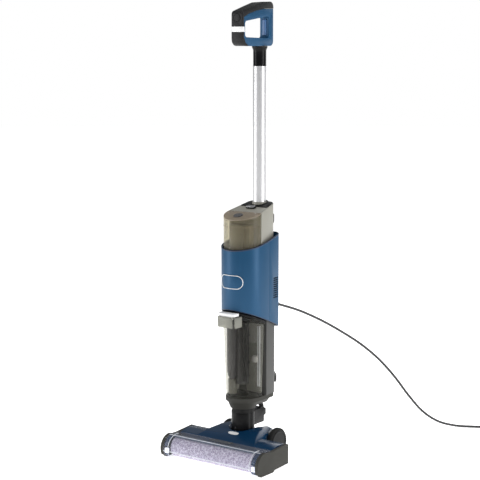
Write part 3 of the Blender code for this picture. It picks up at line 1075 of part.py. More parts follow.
FOAM = material("filter_foam", (0.20, 0.22, 0.26), 0.95)

side_caps()
chassis()
head_cover()
brush_window()
headlights()
brush_roller()
brush_drive()
wheels()
turntable()
neck()
rear_hose()
base_cup()
spine()
dirty_tank()
tank_grip()
blue_housing()
motor_bay()
clean_tank()
spine_top()
wand()
grip()
hooks()
power_cord()
joints()
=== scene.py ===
import json
import math
import bmesh
import bpy
from mathutils import Matrix, Vector, noise
from mathutils.bvhtree import BVHTree

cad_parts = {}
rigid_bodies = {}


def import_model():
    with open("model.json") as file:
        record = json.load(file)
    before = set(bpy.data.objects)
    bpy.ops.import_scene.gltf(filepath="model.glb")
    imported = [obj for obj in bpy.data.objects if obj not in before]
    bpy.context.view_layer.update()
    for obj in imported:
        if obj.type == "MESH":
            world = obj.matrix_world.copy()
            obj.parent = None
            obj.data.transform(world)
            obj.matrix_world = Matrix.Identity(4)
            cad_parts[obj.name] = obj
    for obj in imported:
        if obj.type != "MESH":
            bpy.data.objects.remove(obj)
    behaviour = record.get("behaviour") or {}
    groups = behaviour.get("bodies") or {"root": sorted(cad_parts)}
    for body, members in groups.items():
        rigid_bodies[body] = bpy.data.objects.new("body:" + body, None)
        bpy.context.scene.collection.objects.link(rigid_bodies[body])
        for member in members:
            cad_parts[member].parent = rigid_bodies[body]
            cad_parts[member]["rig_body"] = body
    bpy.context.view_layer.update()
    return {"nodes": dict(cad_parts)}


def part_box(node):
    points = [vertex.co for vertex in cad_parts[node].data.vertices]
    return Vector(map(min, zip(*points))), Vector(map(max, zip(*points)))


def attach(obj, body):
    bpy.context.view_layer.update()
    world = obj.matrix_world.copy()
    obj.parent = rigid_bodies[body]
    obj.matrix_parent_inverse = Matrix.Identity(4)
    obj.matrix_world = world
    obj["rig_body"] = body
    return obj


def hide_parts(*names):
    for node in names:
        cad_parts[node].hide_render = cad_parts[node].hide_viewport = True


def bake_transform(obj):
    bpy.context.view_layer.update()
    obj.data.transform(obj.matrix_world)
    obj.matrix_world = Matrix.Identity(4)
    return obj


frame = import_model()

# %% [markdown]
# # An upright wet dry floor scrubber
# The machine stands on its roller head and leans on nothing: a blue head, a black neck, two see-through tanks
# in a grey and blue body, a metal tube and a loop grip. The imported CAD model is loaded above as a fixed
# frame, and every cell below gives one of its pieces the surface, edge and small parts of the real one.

bpy.context.scene.view_settings.view_transform = "Standard"

# %% [markdown]
# ## Shader sums written as sums
# A finish is a tree of nodes, and most of those nodes are plain arithmetic. One small class can wrap an
# output socket and overload the operators, so that a mask is written as tufts * 1.5 - 0.65 and the Math
# nodes appear by themselves. Only numbers go through it, because a Math node would turn a colour grey.

# %% Socket wrapper
class Wire:
    """An output socket that adds and multiplies like a number."""

    def __init__(self, finish, socket):
        self.finish = finish
        self.socket = socket

    def maths(self, operation, first, second=0.0, clamp=False):
        return self.finish.node("Math", {"operation": operation, "use_clamp": clamp}, {0: first, 1: second})

    def __add__(self, other):
        return self.maths("ADD", self, other)

    def __sub__(self, other):
        return self.maths("SUBTRACT", self, other)

    def __mul__(self, other):
        return self.maths("MULTIPLY", self, other)

    def clipped(self):
        return self.maths("ADD", self, 0.0, True)

    __radd__ = __add__
    __rmul__ = __mul__


# %% [markdown]
# ## One way to make every node
# The finish itself is a second small class. It makes any node from its type, its settings and its
# sockets, sets the settings first because some of them change which sockets exist, and links what is
# linked. The patterns that come back again and again, such as fine grain and soft clouds, are methods of
# it.

# %% Finish class
class Finish:
    """A material under construction, named for what it covers."""

    def __init__(self, name):
        self.material = bpy.data.materials.new(name)
        self.material.use_nodes = True
        self.tree = self.material.node_tree
        self.tree.nodes.clear()
        self.place = self.node("TexCoord", output="Object")

    def node(self, kind, settings=None, sockets=None, output=0):
        made = self.tree.nodes.new("ShaderNode" + kind)
        for name, value in (settings or {}).items():
            if name == "stops":
                while len(made.color_ramp.elements) < len(value):
                    made.color_ramp.elements.new(0.5)
                for element, (position, colour) in zip(made.color_ramp.elements, value):
                    element.position = position
                    element.color = (*colour, 1)
            else:
                setattr(made, name, value)
        for name, value in (sockets or {}).items():
            if isinstance(value, Wire):
                self.tree.links.new(value.socket, made.inputs[name])
            else:
                made.inputs[name].default_value = value
        return Wire(self, made.outputs[output])

    def stretched(self, scale):
        return self.node("Mapping", None, {"Vector": self.place, "Scale": scale})

    def clouds(self, scale, detail=3.0, where=None):
        return self.node("TexNoise", None, {"Vector": where or self.place, "Scale": scale, "Detail": detail})

    def cells(self, scale, where=None):
        return self.node("TexVoronoi", None, {"Vector": where or self.place, "Scale": scale})

    def blended(self, share, first, second):
        return self.node("Mix", {"data_type": "RGBA"}, {0: share, 6: first, 7: second}, 2)

    def bumped(self, height, strength=0.2, depth=0.0002):
        return self.node("Bump", None, {"Height": height, "Strength": strength, "Distance": depth})

    def gloss(self, sockets):
        return self.node("BsdfPrincipled", None, sockets)

    def done(self, shader):
        end = self.tree.nodes.new("ShaderNodeOutputMaterial")
        self.tree.links.new(shader.socket, end.inputs["Surface"])
        return self.material


def shade(red, green, blue):
    """A colour as a Principled socket wants it."""
    return (red, green, blue, 1.0)


# %% [markdown]
# ## Putting a piece in the scene
# Each piece is a mesh that is linked to the scene, rides on one body of the CAD model, takes a finish, and
# hides the CAD nodes that it stands for. A helper does those four things, so no piece can be left behind when
# a joint moves.

# %% Piece helper
def add_piece(mesh, body, finish, stands_for=()):
    """Links a mesh as a piece that moves with a body."""
    made = bpy.data.objects.new(mesh.name, mesh)
    bpy.context.scene.collection.objects.link(made)
    mesh.materials.clear()
    mesh.materials.append(finish)
    if body:
        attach(made, body)
    if stands_for:
        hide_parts(*stands_for)
    return made


def finished_mesh(name, shape, angle=35):
    """Turns a bmesh into a mesh that is smooth but for its real edges."""
    bmesh.ops.recalc_face_normals(shape, faces=shape.faces)
    for face in shape.faces:
        face.smooth = True
    for edge in shape.edges:
        edge.smooth = len(edge.link_faces) == 2 and edge.calc_face_angle(0) < math.radians(angle)
    mesh = bpy.data.meshes.new(name)
    shape.to_mesh(mesh)
    shape.free()
    return mesh


# %% [markdown]
# ## Softened edges
# A moulded edge is never sharp: it has a radius of half a millimetre or so, and that thin line of light
# round each panel is what makes plastic look real. A bevel modifier could add it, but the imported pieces
# arrive as loose triangles. So a copy is welded, its flat faces are joined again, and its sharp edges are
# rounded in mesh code. Where the rounding would push a corner out of the piece's own box, the copy keeps
# its plain edges.

# %% Softened copies
def box_of(points):
    return [min(p[k] for p in points) for k in range(3)] + [max(p[k] for p in points) for k in range(3)]


def round_edges(shape, width, angle):
    """Rounds every edge that is sharper than an angle."""
    hard = [e for e in shape.edges if e.calc_face_angle(0) > math.radians(angle)]
    bmesh.ops.bevel(shape, geom=hard, offset=width, segments=2, profile=0.6, affect="EDGES",
                    clamp_overlap=True)


def softened(node, finish, edge=0.0005, angle=35):
    """A smooth copy of a CAD node with rounded edges, which stands for it."""
    source = frame["nodes"][node]
    for width in (edge, 0.0):
        shape = bmesh.new()
        shape.from_mesh(source.data)
        bmesh.ops.remove_doubles(shape, verts=shape.verts, dist=0.000004)
        bmesh.ops.dissolve_limit(shape, angle_limit=math.radians(0.8), verts=shape.verts, edges=shape.edges)
        if width:
            round_edges(shape, width, angle)
        before = box_of([v.co for v in source.data.vertices])
        after = box_of([v.co for v in shape.verts])
        if max(abs(a - b) for a, b in zip(before, after)) < 0.0002:
            break
        shape.free()
    mesh = finished_mesh(node + "_skin", shape, angle + 8)
    return add_piece(mesh, source["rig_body"], finish, [node])


# %% [markdown]
# ## Shapes made from outlines
# Most of the small parts are turned, extruded or bent from a bar. Three short functions make those
# meshes: one spins a closed profile about an axis, one extrudes a rounded outline, and one carries a
# circle along a line of points.

# %% Shape helpers
TURNS = {"X": Matrix.Rotation(math.pi / 2, 4, "Y"), "Y": Matrix.Rotation(-math.pi / 2, 4, "X"),
         "Z": Matrix.Identity(4)}


def turned(name, profile, centre, axis="Z", sides=72):
    """Spins a closed profile of (radius, height) about an axis through a centre."""
    shape = bmesh.new()
    rings = []
    for radius, height in profile:
        ring = []
        for step in range(sides if radius > 0 else 1):
            turn = 2 * math.pi * step / sides
            ring.append(shape.verts.new((radius * math.cos(turn), radius * math.sin(turn), height)))
        rings.append(ring)
    for first, second in zip(rings, rings[1:] + rings[:1]):
        for step in range(sides):
            corners = [first[step % len(first)], first[(step + 1) % len(first)],
                       second[(step + 1) % len(second)], second[step % len(second)]]
            corners = list(dict.fromkeys(corners))
            if len(corners) > 2:
                shape.faces.new(corners)
    bmesh.ops.transform(shape, matrix=Matrix.Translation(centre) @ TURNS[axis], verts=shape.verts)
    return finished_mesh(name, shape)


def rounded(corners, steps=6):
    """An outline from corners (u, v, radius), each an arc tangent to its two sides."""
    outline = []
    for k, (u, v, radius) in enumerate(corners):
        here = Vector((u, v))
        before = (Vector(corners[k - 1][:2]) - here).normalized()
        after = (Vector(corners[(k + 1) % len(corners)][:2]) - here).normalized()
        if radius <= 0:
            outline.append(here)
            continue
        half = before.angle(after) / 2
        centre = here + (before + after).normalized() * radius / math.sin(half)
        first = here + before * radius / math.tan(half) - centre
        last = here + after * radius / math.tan(half) - centre
        turn = first.angle_signed(last)
        outline += [centre + Matrix.Rotation(-turn * s / steps, 2) @ first for s in range(steps + 1)]
    return outline


PLANES = {
    "XY": Matrix.Identity(4),
    "YZ": Matrix(((0, 0, 1, 0), (1, 0, 0, 0), (0, 1, 0, 0), (0, 0, 0, 1))),
    "XZ": Matrix(((1, 0, 0, 0), (0, 0, -1, 0), (0, 1, 0, 0), (0, 0, 0, 1))),
}


def slab(name, outline, low, high, plane="XY", edge=0.0004, place=None):
    """An outline extruded from low to high, with softened edges."""
    shape = bmesh.new()
    floor = [shape.verts.new((u, v, low)) for u, v in outline]
    face = shape.faces.new(floor)
    lifted = bmesh.ops.extrude_face_region(shape, geom=[face])
    tops = [v for v in lifted["geom"] if isinstance(v, bmesh.types.BMVert)]
    bmesh.ops.translate(shape, verts=tops, vec=(0, 0, high - low))
    bmesh.ops.recalc_face_normals(shape, faces=shape.faces)
    round_edges(shape, edge, 40)
    bmesh.ops.transform(shape, matrix=(place or Matrix.Identity(4)) @ PLANES[plane], verts=shape.verts)
    return finished_mesh(name, shape)


def smooth_path(points, spacing, closed=False):
    """Evenly spaced points on a smooth curve through the given ones."""
    points = [Vector(p) for p in points]
    ends = [points[-1], *points, points[0], points[1]] if closed else \
        [2 * points[0] - points[1], *points, 2 * points[-1] - points[-2]]
    fine = []
    for a, b, c, d in zip(ends, ends[1:], ends[2:], ends[3:]):
        for step in range(16):
            t = step / 16
            fine.append(0.5 * (2 * b + (c - a) * t + (2 * a - 5 * b + 4 * c - d) * t * t
                               + (3 * b - a - 3 * c + d) * t ** 3))
    if not closed:
        fine.append(points[-1])
    even, travelled, target = [fine[0]], 0.0, spacing
    for a, b in zip(fine, fine[1:]):
        step = (b - a).length
        while travelled + step >= target:
            even.append(a.lerp(b, (target - travelled) / step))
            target += spacing
        travelled += step
    if not closed:
        if (even[-1] - fine[-1]).length < spacing / 2:
            even.pop()
        even.append(fine[-1])
    return even


def bar_along(name, path, radius, sides=12, closed=False, flat=1.0):
    """A round bar that follows a path, with closed ends; flat squeezes it across."""
    shape = bmesh.new()
    count = len(path)
    rings = []
    across = None
    for k, point in enumerate(path):
        ahead = path[(k + 1) % count] if closed else path[min(k + 1, count - 1)]
        behind = path[k - 1] if closed or k else path[0]
        along = (ahead - behind).normalized()
        if across is None:
            across = along.orthogonal().normalized()
        across = (across - along * across.dot(along)).normalized()
        up = along.cross(across)
        ring = []
        for step in range(sides):
            turn = 2 * math.pi * step / sides
            sideways = across * radius * math.cos(turn)
            upwards = up * radius * flat * math.sin(turn)
            ring.append(shape.verts.new(point + sideways + upwards))
        rings.append(ring)
    pairs = list(zip(rings, rings[1:]))
    if closed:
        last, first = rings[-1], rings[0]
        start = min(range(sides), key=lambda s: (first[s].co - last[0].co).length)
        pairs.append((last, [first[(start + s) % sides] for s in range(sides)]))
    for first, second in pairs:
        for step in range(sides):
            nxt = (step + 1) % sides
            shape.faces.new((first[step], first[nxt], second[nxt], second[step]))
    if not closed:
        shape.faces.new(list(reversed(rings[0])))
        shape.faces.new(rings[-1])
    return finished_mesh(name, shape, 60)

# %% [markdown]
# ## Camera, floor and light
# The machine is seen from its front right, a little above its middle, through a long lens that keeps its
# tall body free of perspective. Two large soft boxes, one on each side, and a broad one overhead draw
# pale vertical bands on the tube, the tanks and the sleeve, and leave a darker band between them. A
# fourth lights the back. The floor is plain and pale.

# %% Camera and studio
camera = bpy.data.objects.new("camera", bpy.data.cameras.new("camera"))
camera.data.lens = 106.1
camera.data.sensor_width = 36.0
camera.data.clip_end = 60.0
camera.location = (2.1521, -2.8861, 1.0855)
camera.rotation_mode = "QUATERNION"
camera.rotation_quaternion = Vector((-0.59129, 0.79402, -0.14114)).to_track_quat("-Z", "Y")
bpy.context.scene.collection.objects.link(camera)
bpy.context.scene.camera = camera


def soft_box(name, place, target, width, height, power, colour=(1.0, 1.0, 1.0)):
    """A rectangular lamp that faces a point."""
    lamp = bpy.data.lights.new(name, "AREA")
    lamp.shape = "RECTANGLE"
    lamp.size, lamp.size_y = width, height
    lamp.energy = power
    lamp.color = colour
    holder = bpy.data.objects.new(name, lamp)
    holder.location = place
    holder.rotation_euler = (Vector(target) - Vector(place)).to_track_quat("-Z", "Y").to_euler()
    bpy.context.scene.collection.objects.link(holder)


soft_box("box_left", (-1.9, -1.9, 1.1), (0, 0, 0.6), 0.8, 2.6, 34)
soft_box("box_right", (2.3, 0.5, 1.2), (0, 0, 0.6), 0.8, 2.6, 34)
soft_box("box_top", (0.1, -0.6, 3.0), (0, 0, 0.4), 2.0, 2.0, 22)
soft_box("box_back", (-0.4, 2.6, 1.6), (0, 0, 0.6), 2.2, 2.2, 22)

studio = bpy.data.worlds.new("studio")
studio.use_nodes = True
bpy.context.scene.world = studio
backdrop = studio.node_tree
air = backdrop.nodes["Background"]
air.inputs["Color"].default_value = (0.22, 0.224, 0.23, 1)
air.inputs["Strength"].default_value = 1.0
seen_air = backdrop.nodes.new("ShaderNodeBackground")
seen_air.inputs["Color"].default_value = (1, 1, 1, 1)
seen_air.inputs["Strength"].default_value = 1.0
ray = backdrop.nodes.new("ShaderNodeLightPath")
choice = backdrop.nodes.new("ShaderNodeMixShader")
backdrop.links.new(ray.outputs["Is Camera Ray"], choice.inputs["Fac"])
backdrop.links.new(air.outputs[0], choice.inputs[1])
backdrop.links.new(seen_air.outputs[0], choice.inputs[2])
backdrop.links.new(choice.outputs[0], backdrop.nodes["World Output"].inputs["Surface"])

paper = Finish("floor_paper")
paper_tone = paper.blended(paper.clouds(0.8) * 0.25, shade(0.97, 0.97, 0.965), shade(0.94, 0.94, 0.94))
paper_white = paper.done(paper.gloss({"Base Color": paper_tone, "Roughness": 0.6, "Specular IOR Level": 0.25,
                                       "Emission Color": paper_tone, "Emission Strength": 0.95}))
ground = bmesh.new()
bmesh.ops.create_circle(ground, cap_ends=True, radius=14.0, segments=64)
floor_mesh = finished_mesh("studio_floor", ground)
floor_mesh.materials.append(paper_white)
studio_floor = bpy.data.objects.new("studio_floor", floor_mesh)
bpy.context.scene.collection.objects.link(studio_floor)
print("camera and studio are in place")

# %% [markdown]
# ## The power cord
# A mains cord is one length of round rubber cable, 6.5 mm thick and about 7.6 m long on a machine like this.
# It leaves the back of the sleeve through a tapered guard, falls to the floor in one long curve, and the rest
# lies in a coil with the plug on top. A bevelled curve could be used, but the cord is a mesh tube that
# follows its own list of points: down the route, then round and round in five layers.

# %% Cord line
CORD_THICKNESS = 0.0065
LIE = CORD_THICKNESS / 2 + 0.0003
CORD_ROUTE = (
    (0.0280, 0.1380, 0.3868), (0.0310, 0.1650, 0.3780), (0.0380, 0.2000, 0.3655), (0.0500, 0.2400, 0.3480),
    (0.0740, 0.2920, 0.3190), (0.1040, 0.3440, 0.2830), (0.1350, 0.3900, 0.2450), (0.1660, 0.4300, 0.2010),
    (0.1960, 0.4640, 0.1500), (0.2240, 0.4930, 0.0960), (0.2540, 0.5210, 0.0490), (0.2880, 0.5500, 0.0190),
    (0.3260, 0.5790, 0.0065), (0.3650, 0.6060, LIE), (0.4050, 0.6280, LIE), (0.4480, 0.6400, LIE))
COIL_CENTRE = Vector((0.4480, 0.71065, 0.0))
TURN_GAP = 0.0069
LAYERS = 5


def eased(t):
    return t * t * (3 - 2 * t)


def coil_line():
    """Points of a coil that starts at its outer edge on the floor and winds in and out in layers."""
    inner, outer, step_degrees = 0.0364, 0.0637, 6
    stages = [("in", 0.0706, outer, 0.264)]
    for layer in range(LAYERS):
        ends = (outer, inner) if layer % 2 == 0 else (inner, outer)
        stages.append(("wind", *ends, (outer - inner) / TURN_GAP))
        stages.append(("climb", ends[1], ends[1], 0.26))
    angle, lift, line = -math.pi / 2, LIE, []
    for kind, first, last, turns in stages:
        steps = max(2, round(turns * 360 / step_degrees))
        for step in range(steps):
            share = step / steps
            radius = first + (last - first) * share
            rise = TURN_GAP * eased(share) if kind == "climb" else 0.0
            turn = angle + 2 * math.pi * turns * share
            line.append(COIL_CENTRE + Vector((radius * math.cos(turn), radius * math.sin(turn), lift + rise)))
        angle += 2 * math.pi * turns
        lift += TURN_GAP if kind == "climb" else 0.0
    return line, lift


def tail_line(line, lift, plug_height):
    """From the top of the coil round to the back of the plug."""
    route = [(0.0200, 0.0366, 0.0), (0.0085, 0.0455, 0.0), (-0.0080, 0.0515, 0.0),
             (-0.0220, 0.0537, 0.0), (-0.0360, 0.0540, 0.02), (-0.0495, 0.0504, 0.10),
             (-0.0594, 0.0405, 0.26), (-0.0630, 0.0270, 0.48), (-0.0594, 0.0135, 0.70),
             (-0.0495, 0.0036, 0.88), (-0.0390, 0.0003, 0.98), (-0.0290, 0.0, 1.0)]
    rise = plug_height - lift
    points = [COIL_CENTRE + Vector((x, y, lift + rise * share)) for x, y, share in route]
    return smooth_path([line[-3], line[-1], *points], 0.004)


free_line = smooth_path(CORD_ROUTE, 0.012)
coil, top = coil_line()
cord_line = free_line[:-1] + coil[:-3] + tail_line(coil, top, 0.0505)
cord_length = sum((b - a).length for a, b in zip(cord_line, cord_line[1:]))
print("the cord is", round(cord_length, 3), "m long, in", len(cord_line), "points")

# %% [markdown]
# The cable is dark grey rubber with a fine dull skin. The tube has sixteen sides, and the material adds
# the faint grain of the mould. The guard at the exit is a tapered sleeve with rings cut round it, so that
# the cord can bend there without kinking, and a soft tie holds the coil.

# %% Cord, guard and tie
cable = Finish("cable_rubber")
cable_grain = cable.clouds(900, 4)
cable_rubber = cable.done(cable.gloss({
    "Base Color": cable.blended(cable.clouds(60), shade(0.030, 0.030, 0.032), shade(0.046, 0.046, 0.048)),
    "Roughness": 0.48 + cable_grain * 0.14, "Specular IOR Level": 0.4,
    "Normal": cable.bumped(cable_grain, 0.15, 0.0001)}))

cord_mesh = bar_along("cord", cord_line, CORD_THICKNESS / 2, 16)
cord = add_piece(cord_mesh, None, cable_rubber, ["power_cord", "cord_coil"])
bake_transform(cord)

guard_lean = Matrix.Translation((0.028, 0.1175, 0.394)) @ Matrix.Rotation(math.radians(-20), 4, "X")
guard_rings = [(0.0034, 0.0212), (0.0044, 0.0212)]
for ring in range(5):
    deep = 0.0188 - ring * 0.0029
    thick = 0.0046 + ring * 0.0005
    guard_rings += [(thick, deep + 0.0012), (thick, deep), (thick - 0.0009, deep - 0.0004),
                    (thick - 0.0009, deep - 0.0012)]
guard_rings += [(0.0074, 0.0052), (0.0076, 0.0022), (0.0034, 0.0022)]
guard = turned("cord_guard", guard_rings, (0, 0, 0), "Y", 40)
guard.transform(guard_lean)
cord_guard = add_piece(guard, "upper", cable_rubber)
frame["nodes"]["cord_gland"].data.materials[0] = cable_rubber

tie_turn = math.radians(205)
tie_middle = COIL_CENTRE + Vector((0.050 * math.cos(tie_turn), 0.050 * math.sin(tie_turn), 0.0173))
out = Vector((math.cos(tie_turn), math.sin(tie_turn), 0))
tie_path = []
for u, v in rounded([(-0.0184, -0.0158, 0.006), (0.0184, -0.0158, 0.006), (0.0184, 0.0183, 0.006),
                     (-0.0184, 0.0183, 0.006)], 5):
    tie_path.append(tie_middle + out * u + Vector((0, 0, v)))
tie_shape = bmesh.new()
side = out.cross(Vector((0, 0, 1))) * 0.008
loops = []
for depth in (0.0, 0.0009):
    for way in (-1, 1):
        ring = []
        for k, point in enumerate(tie_path):
            outward = (point - tie_middle).normalized()
            ring.append(tie_shape.verts.new(point + outward * depth + side * way))
        loops.append(ring)
for first, second in ((0, 1), (1, 3), (3, 2), (2, 0)):
    for k in range(len(tie_path)):
        n = (k + 1) % len(tie_path)
        tie_shape.faces.new((loops[first][k], loops[first][n], loops[second][n], loops[second][k]))
tie = Finish("tie_weave")
tie_threads = tie.cells(1500)
tie_weave = tie.done(tie.gloss({"Base Color": tie.blended(tie_threads, shade(0.012, 0.012, 0.014),
                                                          shade(0.035, 0.035, 0.038)),
                                "Roughness": 0.9, "Normal": tie.bumped(tie_threads, 0.5, 0.0003)}))
cord_tie = add_piece(finished_mesh("cord_tie", tie_shape), "swivel", tie_weave)

print("cord, guard and tie are made")

# %% [markdown]
# ## Blue shells
# The sleeve, the grip's frame and the floor head's cover are the same deep blue. On the sleeve and the
# grip it is satin with a faint metallic flake, and on the floor head it is darker and polished. A single
# colour would look like paper, so slow clouds shift the tone a little, fine grain varies the roughness,
# and a tiny bump gives the orange-peel skin of moulded plastic.

# %% Blue finishes
def plastic(name, dark, light, roughness, grain=700, skin=0.06, spread=0.08, **more):
    """A moulded plastic with a slow drift of tone, an uneven gloss and a fine skin."""
    made = Finish(name)
    fine = made.clouds(grain, 5)
    tone = made.blended(made.clouds(14, 4), shade(*dark), shade(*light))
    sockets = {"Base Color": tone, "Roughness": roughness - spread / 2 + fine * spread,
               "Normal": made.bumped(fine, skin, 0.0002)}
    sockets.update({key.replace("_", " "): value for key, value in more.items()})
    return made.done(made.gloss(sockets))


sleeve_blue = plastic("sleeve_blue", (0.009, 0.062, 0.140), (0.012, 0.073, 0.162), 0.42, 900, 0.05,
                      Metallic=0.25, Specular_IOR_Level=0.25, Coat_Weight=0.08, Coat_Roughness=0.3)
cover_blue = plastic("cover_blue", (0.002, 0.026, 0.070), (0.003, 0.034, 0.088), 0.24, 500, 0.03, 0.05,
                     Specular_IOR_Level=0.3, Coat_Weight=0.15, Coat_Roughness=0.15)
rim_blue = plastic("rim_blue", (0.006, 0.022, 0.060), (0.009, 0.030, 0.078), 0.42, 900, 0.05)
trigger_blue = plastic("trigger_blue", (0.060, 0.150, 0.330), (0.075, 0.175, 0.370), 0.38, 900, 0.06)

for node in ("housing_front", "housing_rear", "grip_frame"):
    softened(node, sleeve_blue, 0.0006)
softened("head_cover", cover_blue, 0.0, 24)
softened("roller_pull_end", cover_blue, 0.0004)
softened("spray_trigger", trigger_blue, 0.0006)

# %% [markdown]
# ## Greys and blacks
# Five plain plastics cover the rest of the shells. The end caps and the base are a warm dark grey with a
# spark-eroded grain, the lower body is a finer and lighter grey, the upper back is lighter and warmer
# still, the neck is polished black, and the grip's cover and the small catches are satin black. The grain
# is a cell pattern, which looks like an eroded mould. Two more plastics, a black and a pale grey, serve
# the parts inside.

# %% Grey and black finishes
def grained(name, dark, light, roughness, size=1100, depth=0.25):
    """A plastic with the pitted grain of a spark-eroded mould."""
    made = Finish(name)
    pits = made.cells(size)
    tone = made.blended(made.clouds(30, 4), shade(*dark), shade(*light))
    return made.done(made.gloss({"Base Color": tone, "Roughness": roughness + pits * 0.12,
                                 "Specular IOR Level": 0.2, "Normal": made.bumped(pits, depth, 0.0003)}))


cap_grey = grained("cap_grey", (0.040, 0.039, 0.034), (0.050, 0.049, 0.043), 0.52)
body_grey = grained("body_grey", (0.080, 0.080, 0.078), (0.094, 0.094, 0.091), 0.42, 1300, 0.10)
back_grey = plastic("back_grey", (0.270, 0.262, 0.225), (0.315, 0.306, 0.265), 0.34, 800, 0.05)
neck_black = plastic("neck_black", (0.0035, 0.0035, 0.004), (0.006, 0.006, 0.0065), 0.28, 500, 0.03, 0.08,
                     Specular_IOR_Level=0.14)
satin_black = grained("satin_black", (0.008, 0.008, 0.009), (0.013, 0.013, 0.014), 0.40, 1500, 0.10)
inner_black = plastic("inner_black", (0.006, 0.006, 0.006), (0.010, 0.010, 0.010), 0.6)
inner_grey = plastic("inner_grey", (0.34, 0.34, 0.33), (0.42, 0.42, 0.41), 0.5)

for node in ("side_cap_left", "side_cap_right", "chassis", "turntable", "base_cup"):
    softened(node, cap_grey, 0.0006)
for node in ("spine", "cord_hook_lower"):
    softened(node, body_grey, 0.0006)
for node in ("hub_left", "hub_right"):
    softened(node, satin_black, 0.0004)
softened("spine_top", back_grey, 0.0006)
for node in ("neck", "dirty_tank_lid"):
    softened(node, neck_black, 0.0005)
for node in ("grip_cover", "power_button", "cord_hook_upper", "tank_latch", "plug"):
    softened(node, satin_black, 0.0005)
for node in ("motor_bay", "water_pump", "roller_drive_end"):
    softened(node, inner_black, 0.0003)
for node in ("roller_core", "float_ball", "impeller"):
    softened(node, inner_grey, 0.0003)

# %% [markdown]
# ## Rubber, metal and foam
# Rubber scatters light from a slightly dusty, pitted skin. The tube is anodised aluminium, drawn along
# its length, so its roughness is stretched into fine lines that run up the tube. The motors are plain
# steel, the pulley is brass, and the filter is open foam with deep cells.

# %% Rubber, metal and foam finishes
rubber = Finish("soft_rubber")
dust = rubber.clouds(240, 6)
soft_rubber = rubber.done(rubber.gloss({
    "Base Color": rubber.blended(dust, shade(0.010, 0.010, 0.010), shade(0.030, 0.030, 0.029)),
    "Roughness": 0.62 + dust * 0.2, "Specular IOR Level": 0.2,
    "Normal": rubber.bumped(rubber.clouds(1400, 2), 0.2, 0.0002)}))


def metal(name, colour, roughness, stretch, depth=0.04):
    """A metal whose fine lines run the way it was drawn or turned."""
    made = Finish(name)
    lines = made.clouds(1.0, 4, made.stretched(stretch))
    return made.done(made.gloss({"Base Color": shade(*colour), "Metallic": 1.0,
                                 "Roughness": roughness + lines * 0.12,
                                 "Normal": made.bumped(lines, depth, 0.0001)}))


tube_metal = metal("tube_metal", (0.66, 0.66, 0.67), 0.30, (900, 900, 14), 0.0)
motor_steel = metal("motor_steel", (0.56, 0.56, 0.57), 0.25, (300, 300, 900))
pulley_brass = metal("pulley_brass", (0.70, 0.52, 0.22), 0.22, (300, 900, 900))

foam = Finish("filter_foam")
pores = foam.cells(900)
filter_foam = foam.done(foam.gloss({"Base Color": foam.blended(pores, shade(0.010, 0.012, 0.016),
                                                               shade(0.09, 0.10, 0.13)),
                                    "Roughness": 0.95, "Normal": foam.bumped(pores, 0.8, 0.0010)}))

for node in ("drive_belt", "squeegee", "tyre_left", "tyre_right", "neck_collar", "suction_hose", "rear_hose",
             "tank_valve"):
    softened(node, soft_rubber, 0.0004)
for node in ("brush_motor", "suction_motor"):
    softened(node, motor_steel, 0.0004)
softened("motor_pulley", pulley_brass, 0.0002)
softened("tank_filter", filter_foam, 0.0)

# %% [markdown]
# ## See-through plastics
# A tank wall is a thin clear sheet. Real glass shading would bend every ray in a two millimetre wall and
# leave the inside dark and grainy, so each wall lets light straight through with a tint and adds its own
# gloss on top. The share of gloss grows at a glancing angle, as it does on a real wall, and each surface
# passed adds its tint, which is why the round edges of a tank look darker than its middle.

# %% Clear finishes
def clear_wall(name, tint, body, haze=0.06, roughness=0.07, edge=0.55):
    """A tinted see-through wall with its own gloss."""
    made = Finish(name)
    streaks = made.clouds(26, 5)
    through = made.node("BsdfTransparent", None, {"Color": shade(*tint)})
    skin = made.gloss({"Base Color": shade(*body), "Roughness": roughness + streaks * 0.05,
                       "IOR": 1.5,
                       "Normal": made.bumped(streaks, 0.03, 0.0004)})
    glance = made.node("LayerWeight", None, {"Blend": 0.35}, 1)
    share = (haze + streaks * 0.03 + glance * edge).clipped()
    return made.done(made.node("MixShader", None, {0: share, 1: through, 2: skin}))


window_clear = clear_wall("window_clear", (0.955, 0.955, 0.98), (0.50, 0.52, 0.58), 0.02, 0.06, 0.16)
smoke_clear = clear_wall("smoke_clear", (0.90, 0.88, 0.81), (0.36, 0.34, 0.28), 0.08, 0.10, 0.30)
lid_smoke = clear_wall("lid_smoke", (0.66, 0.60, 0.51), (0.34, 0.285, 0.215), 0.50, 0.12, 0.30)
tank_clear = clear_wall("tank_clear", (0.900, 0.895, 0.875), (0.20, 0.20, 0.185), 0.018, 0.16, 0.14)
cone_black = plastic("cone_black", (0.008, 0.008, 0.009), (0.014, 0.014, 0.015), 0.38, 400, 0.03)
cone_smoke = clear_wall("cone_smoke", (0.62, 0.61, 0.62), (0.13, 0.13, 0.135), 0.45, 0.22, 0.35)
handle_clear = clear_wall("handle_clear", (0.80, 0.80, 0.76), (0.34, 0.34, 0.30), 0.42, 0.20, 0.30)

softened("brush_window", window_clear, 0.0003)
softened("clean_tank", smoke_clear, 0.0004)
softened("clean_tank_lid", lid_smoke, 0.0005)
softened("dirty_tank", tank_clear, 0.0004)
softened("separator", cone_black, 0.0004)
softened("filler_cap", cone_smoke, 0.0004)
softened("tank_grip", handle_clear, 0.0006)

# %% [markdown]
# ## White parts and lamps
# The lamps at the two front corners of the head glow through a milky lens. The tank's button and the
# blank band round the grip are plain white, a little glossy, and so are the badge trims made further
# down. The sleeve's blank badge plate keeps the sleeve's own blue.

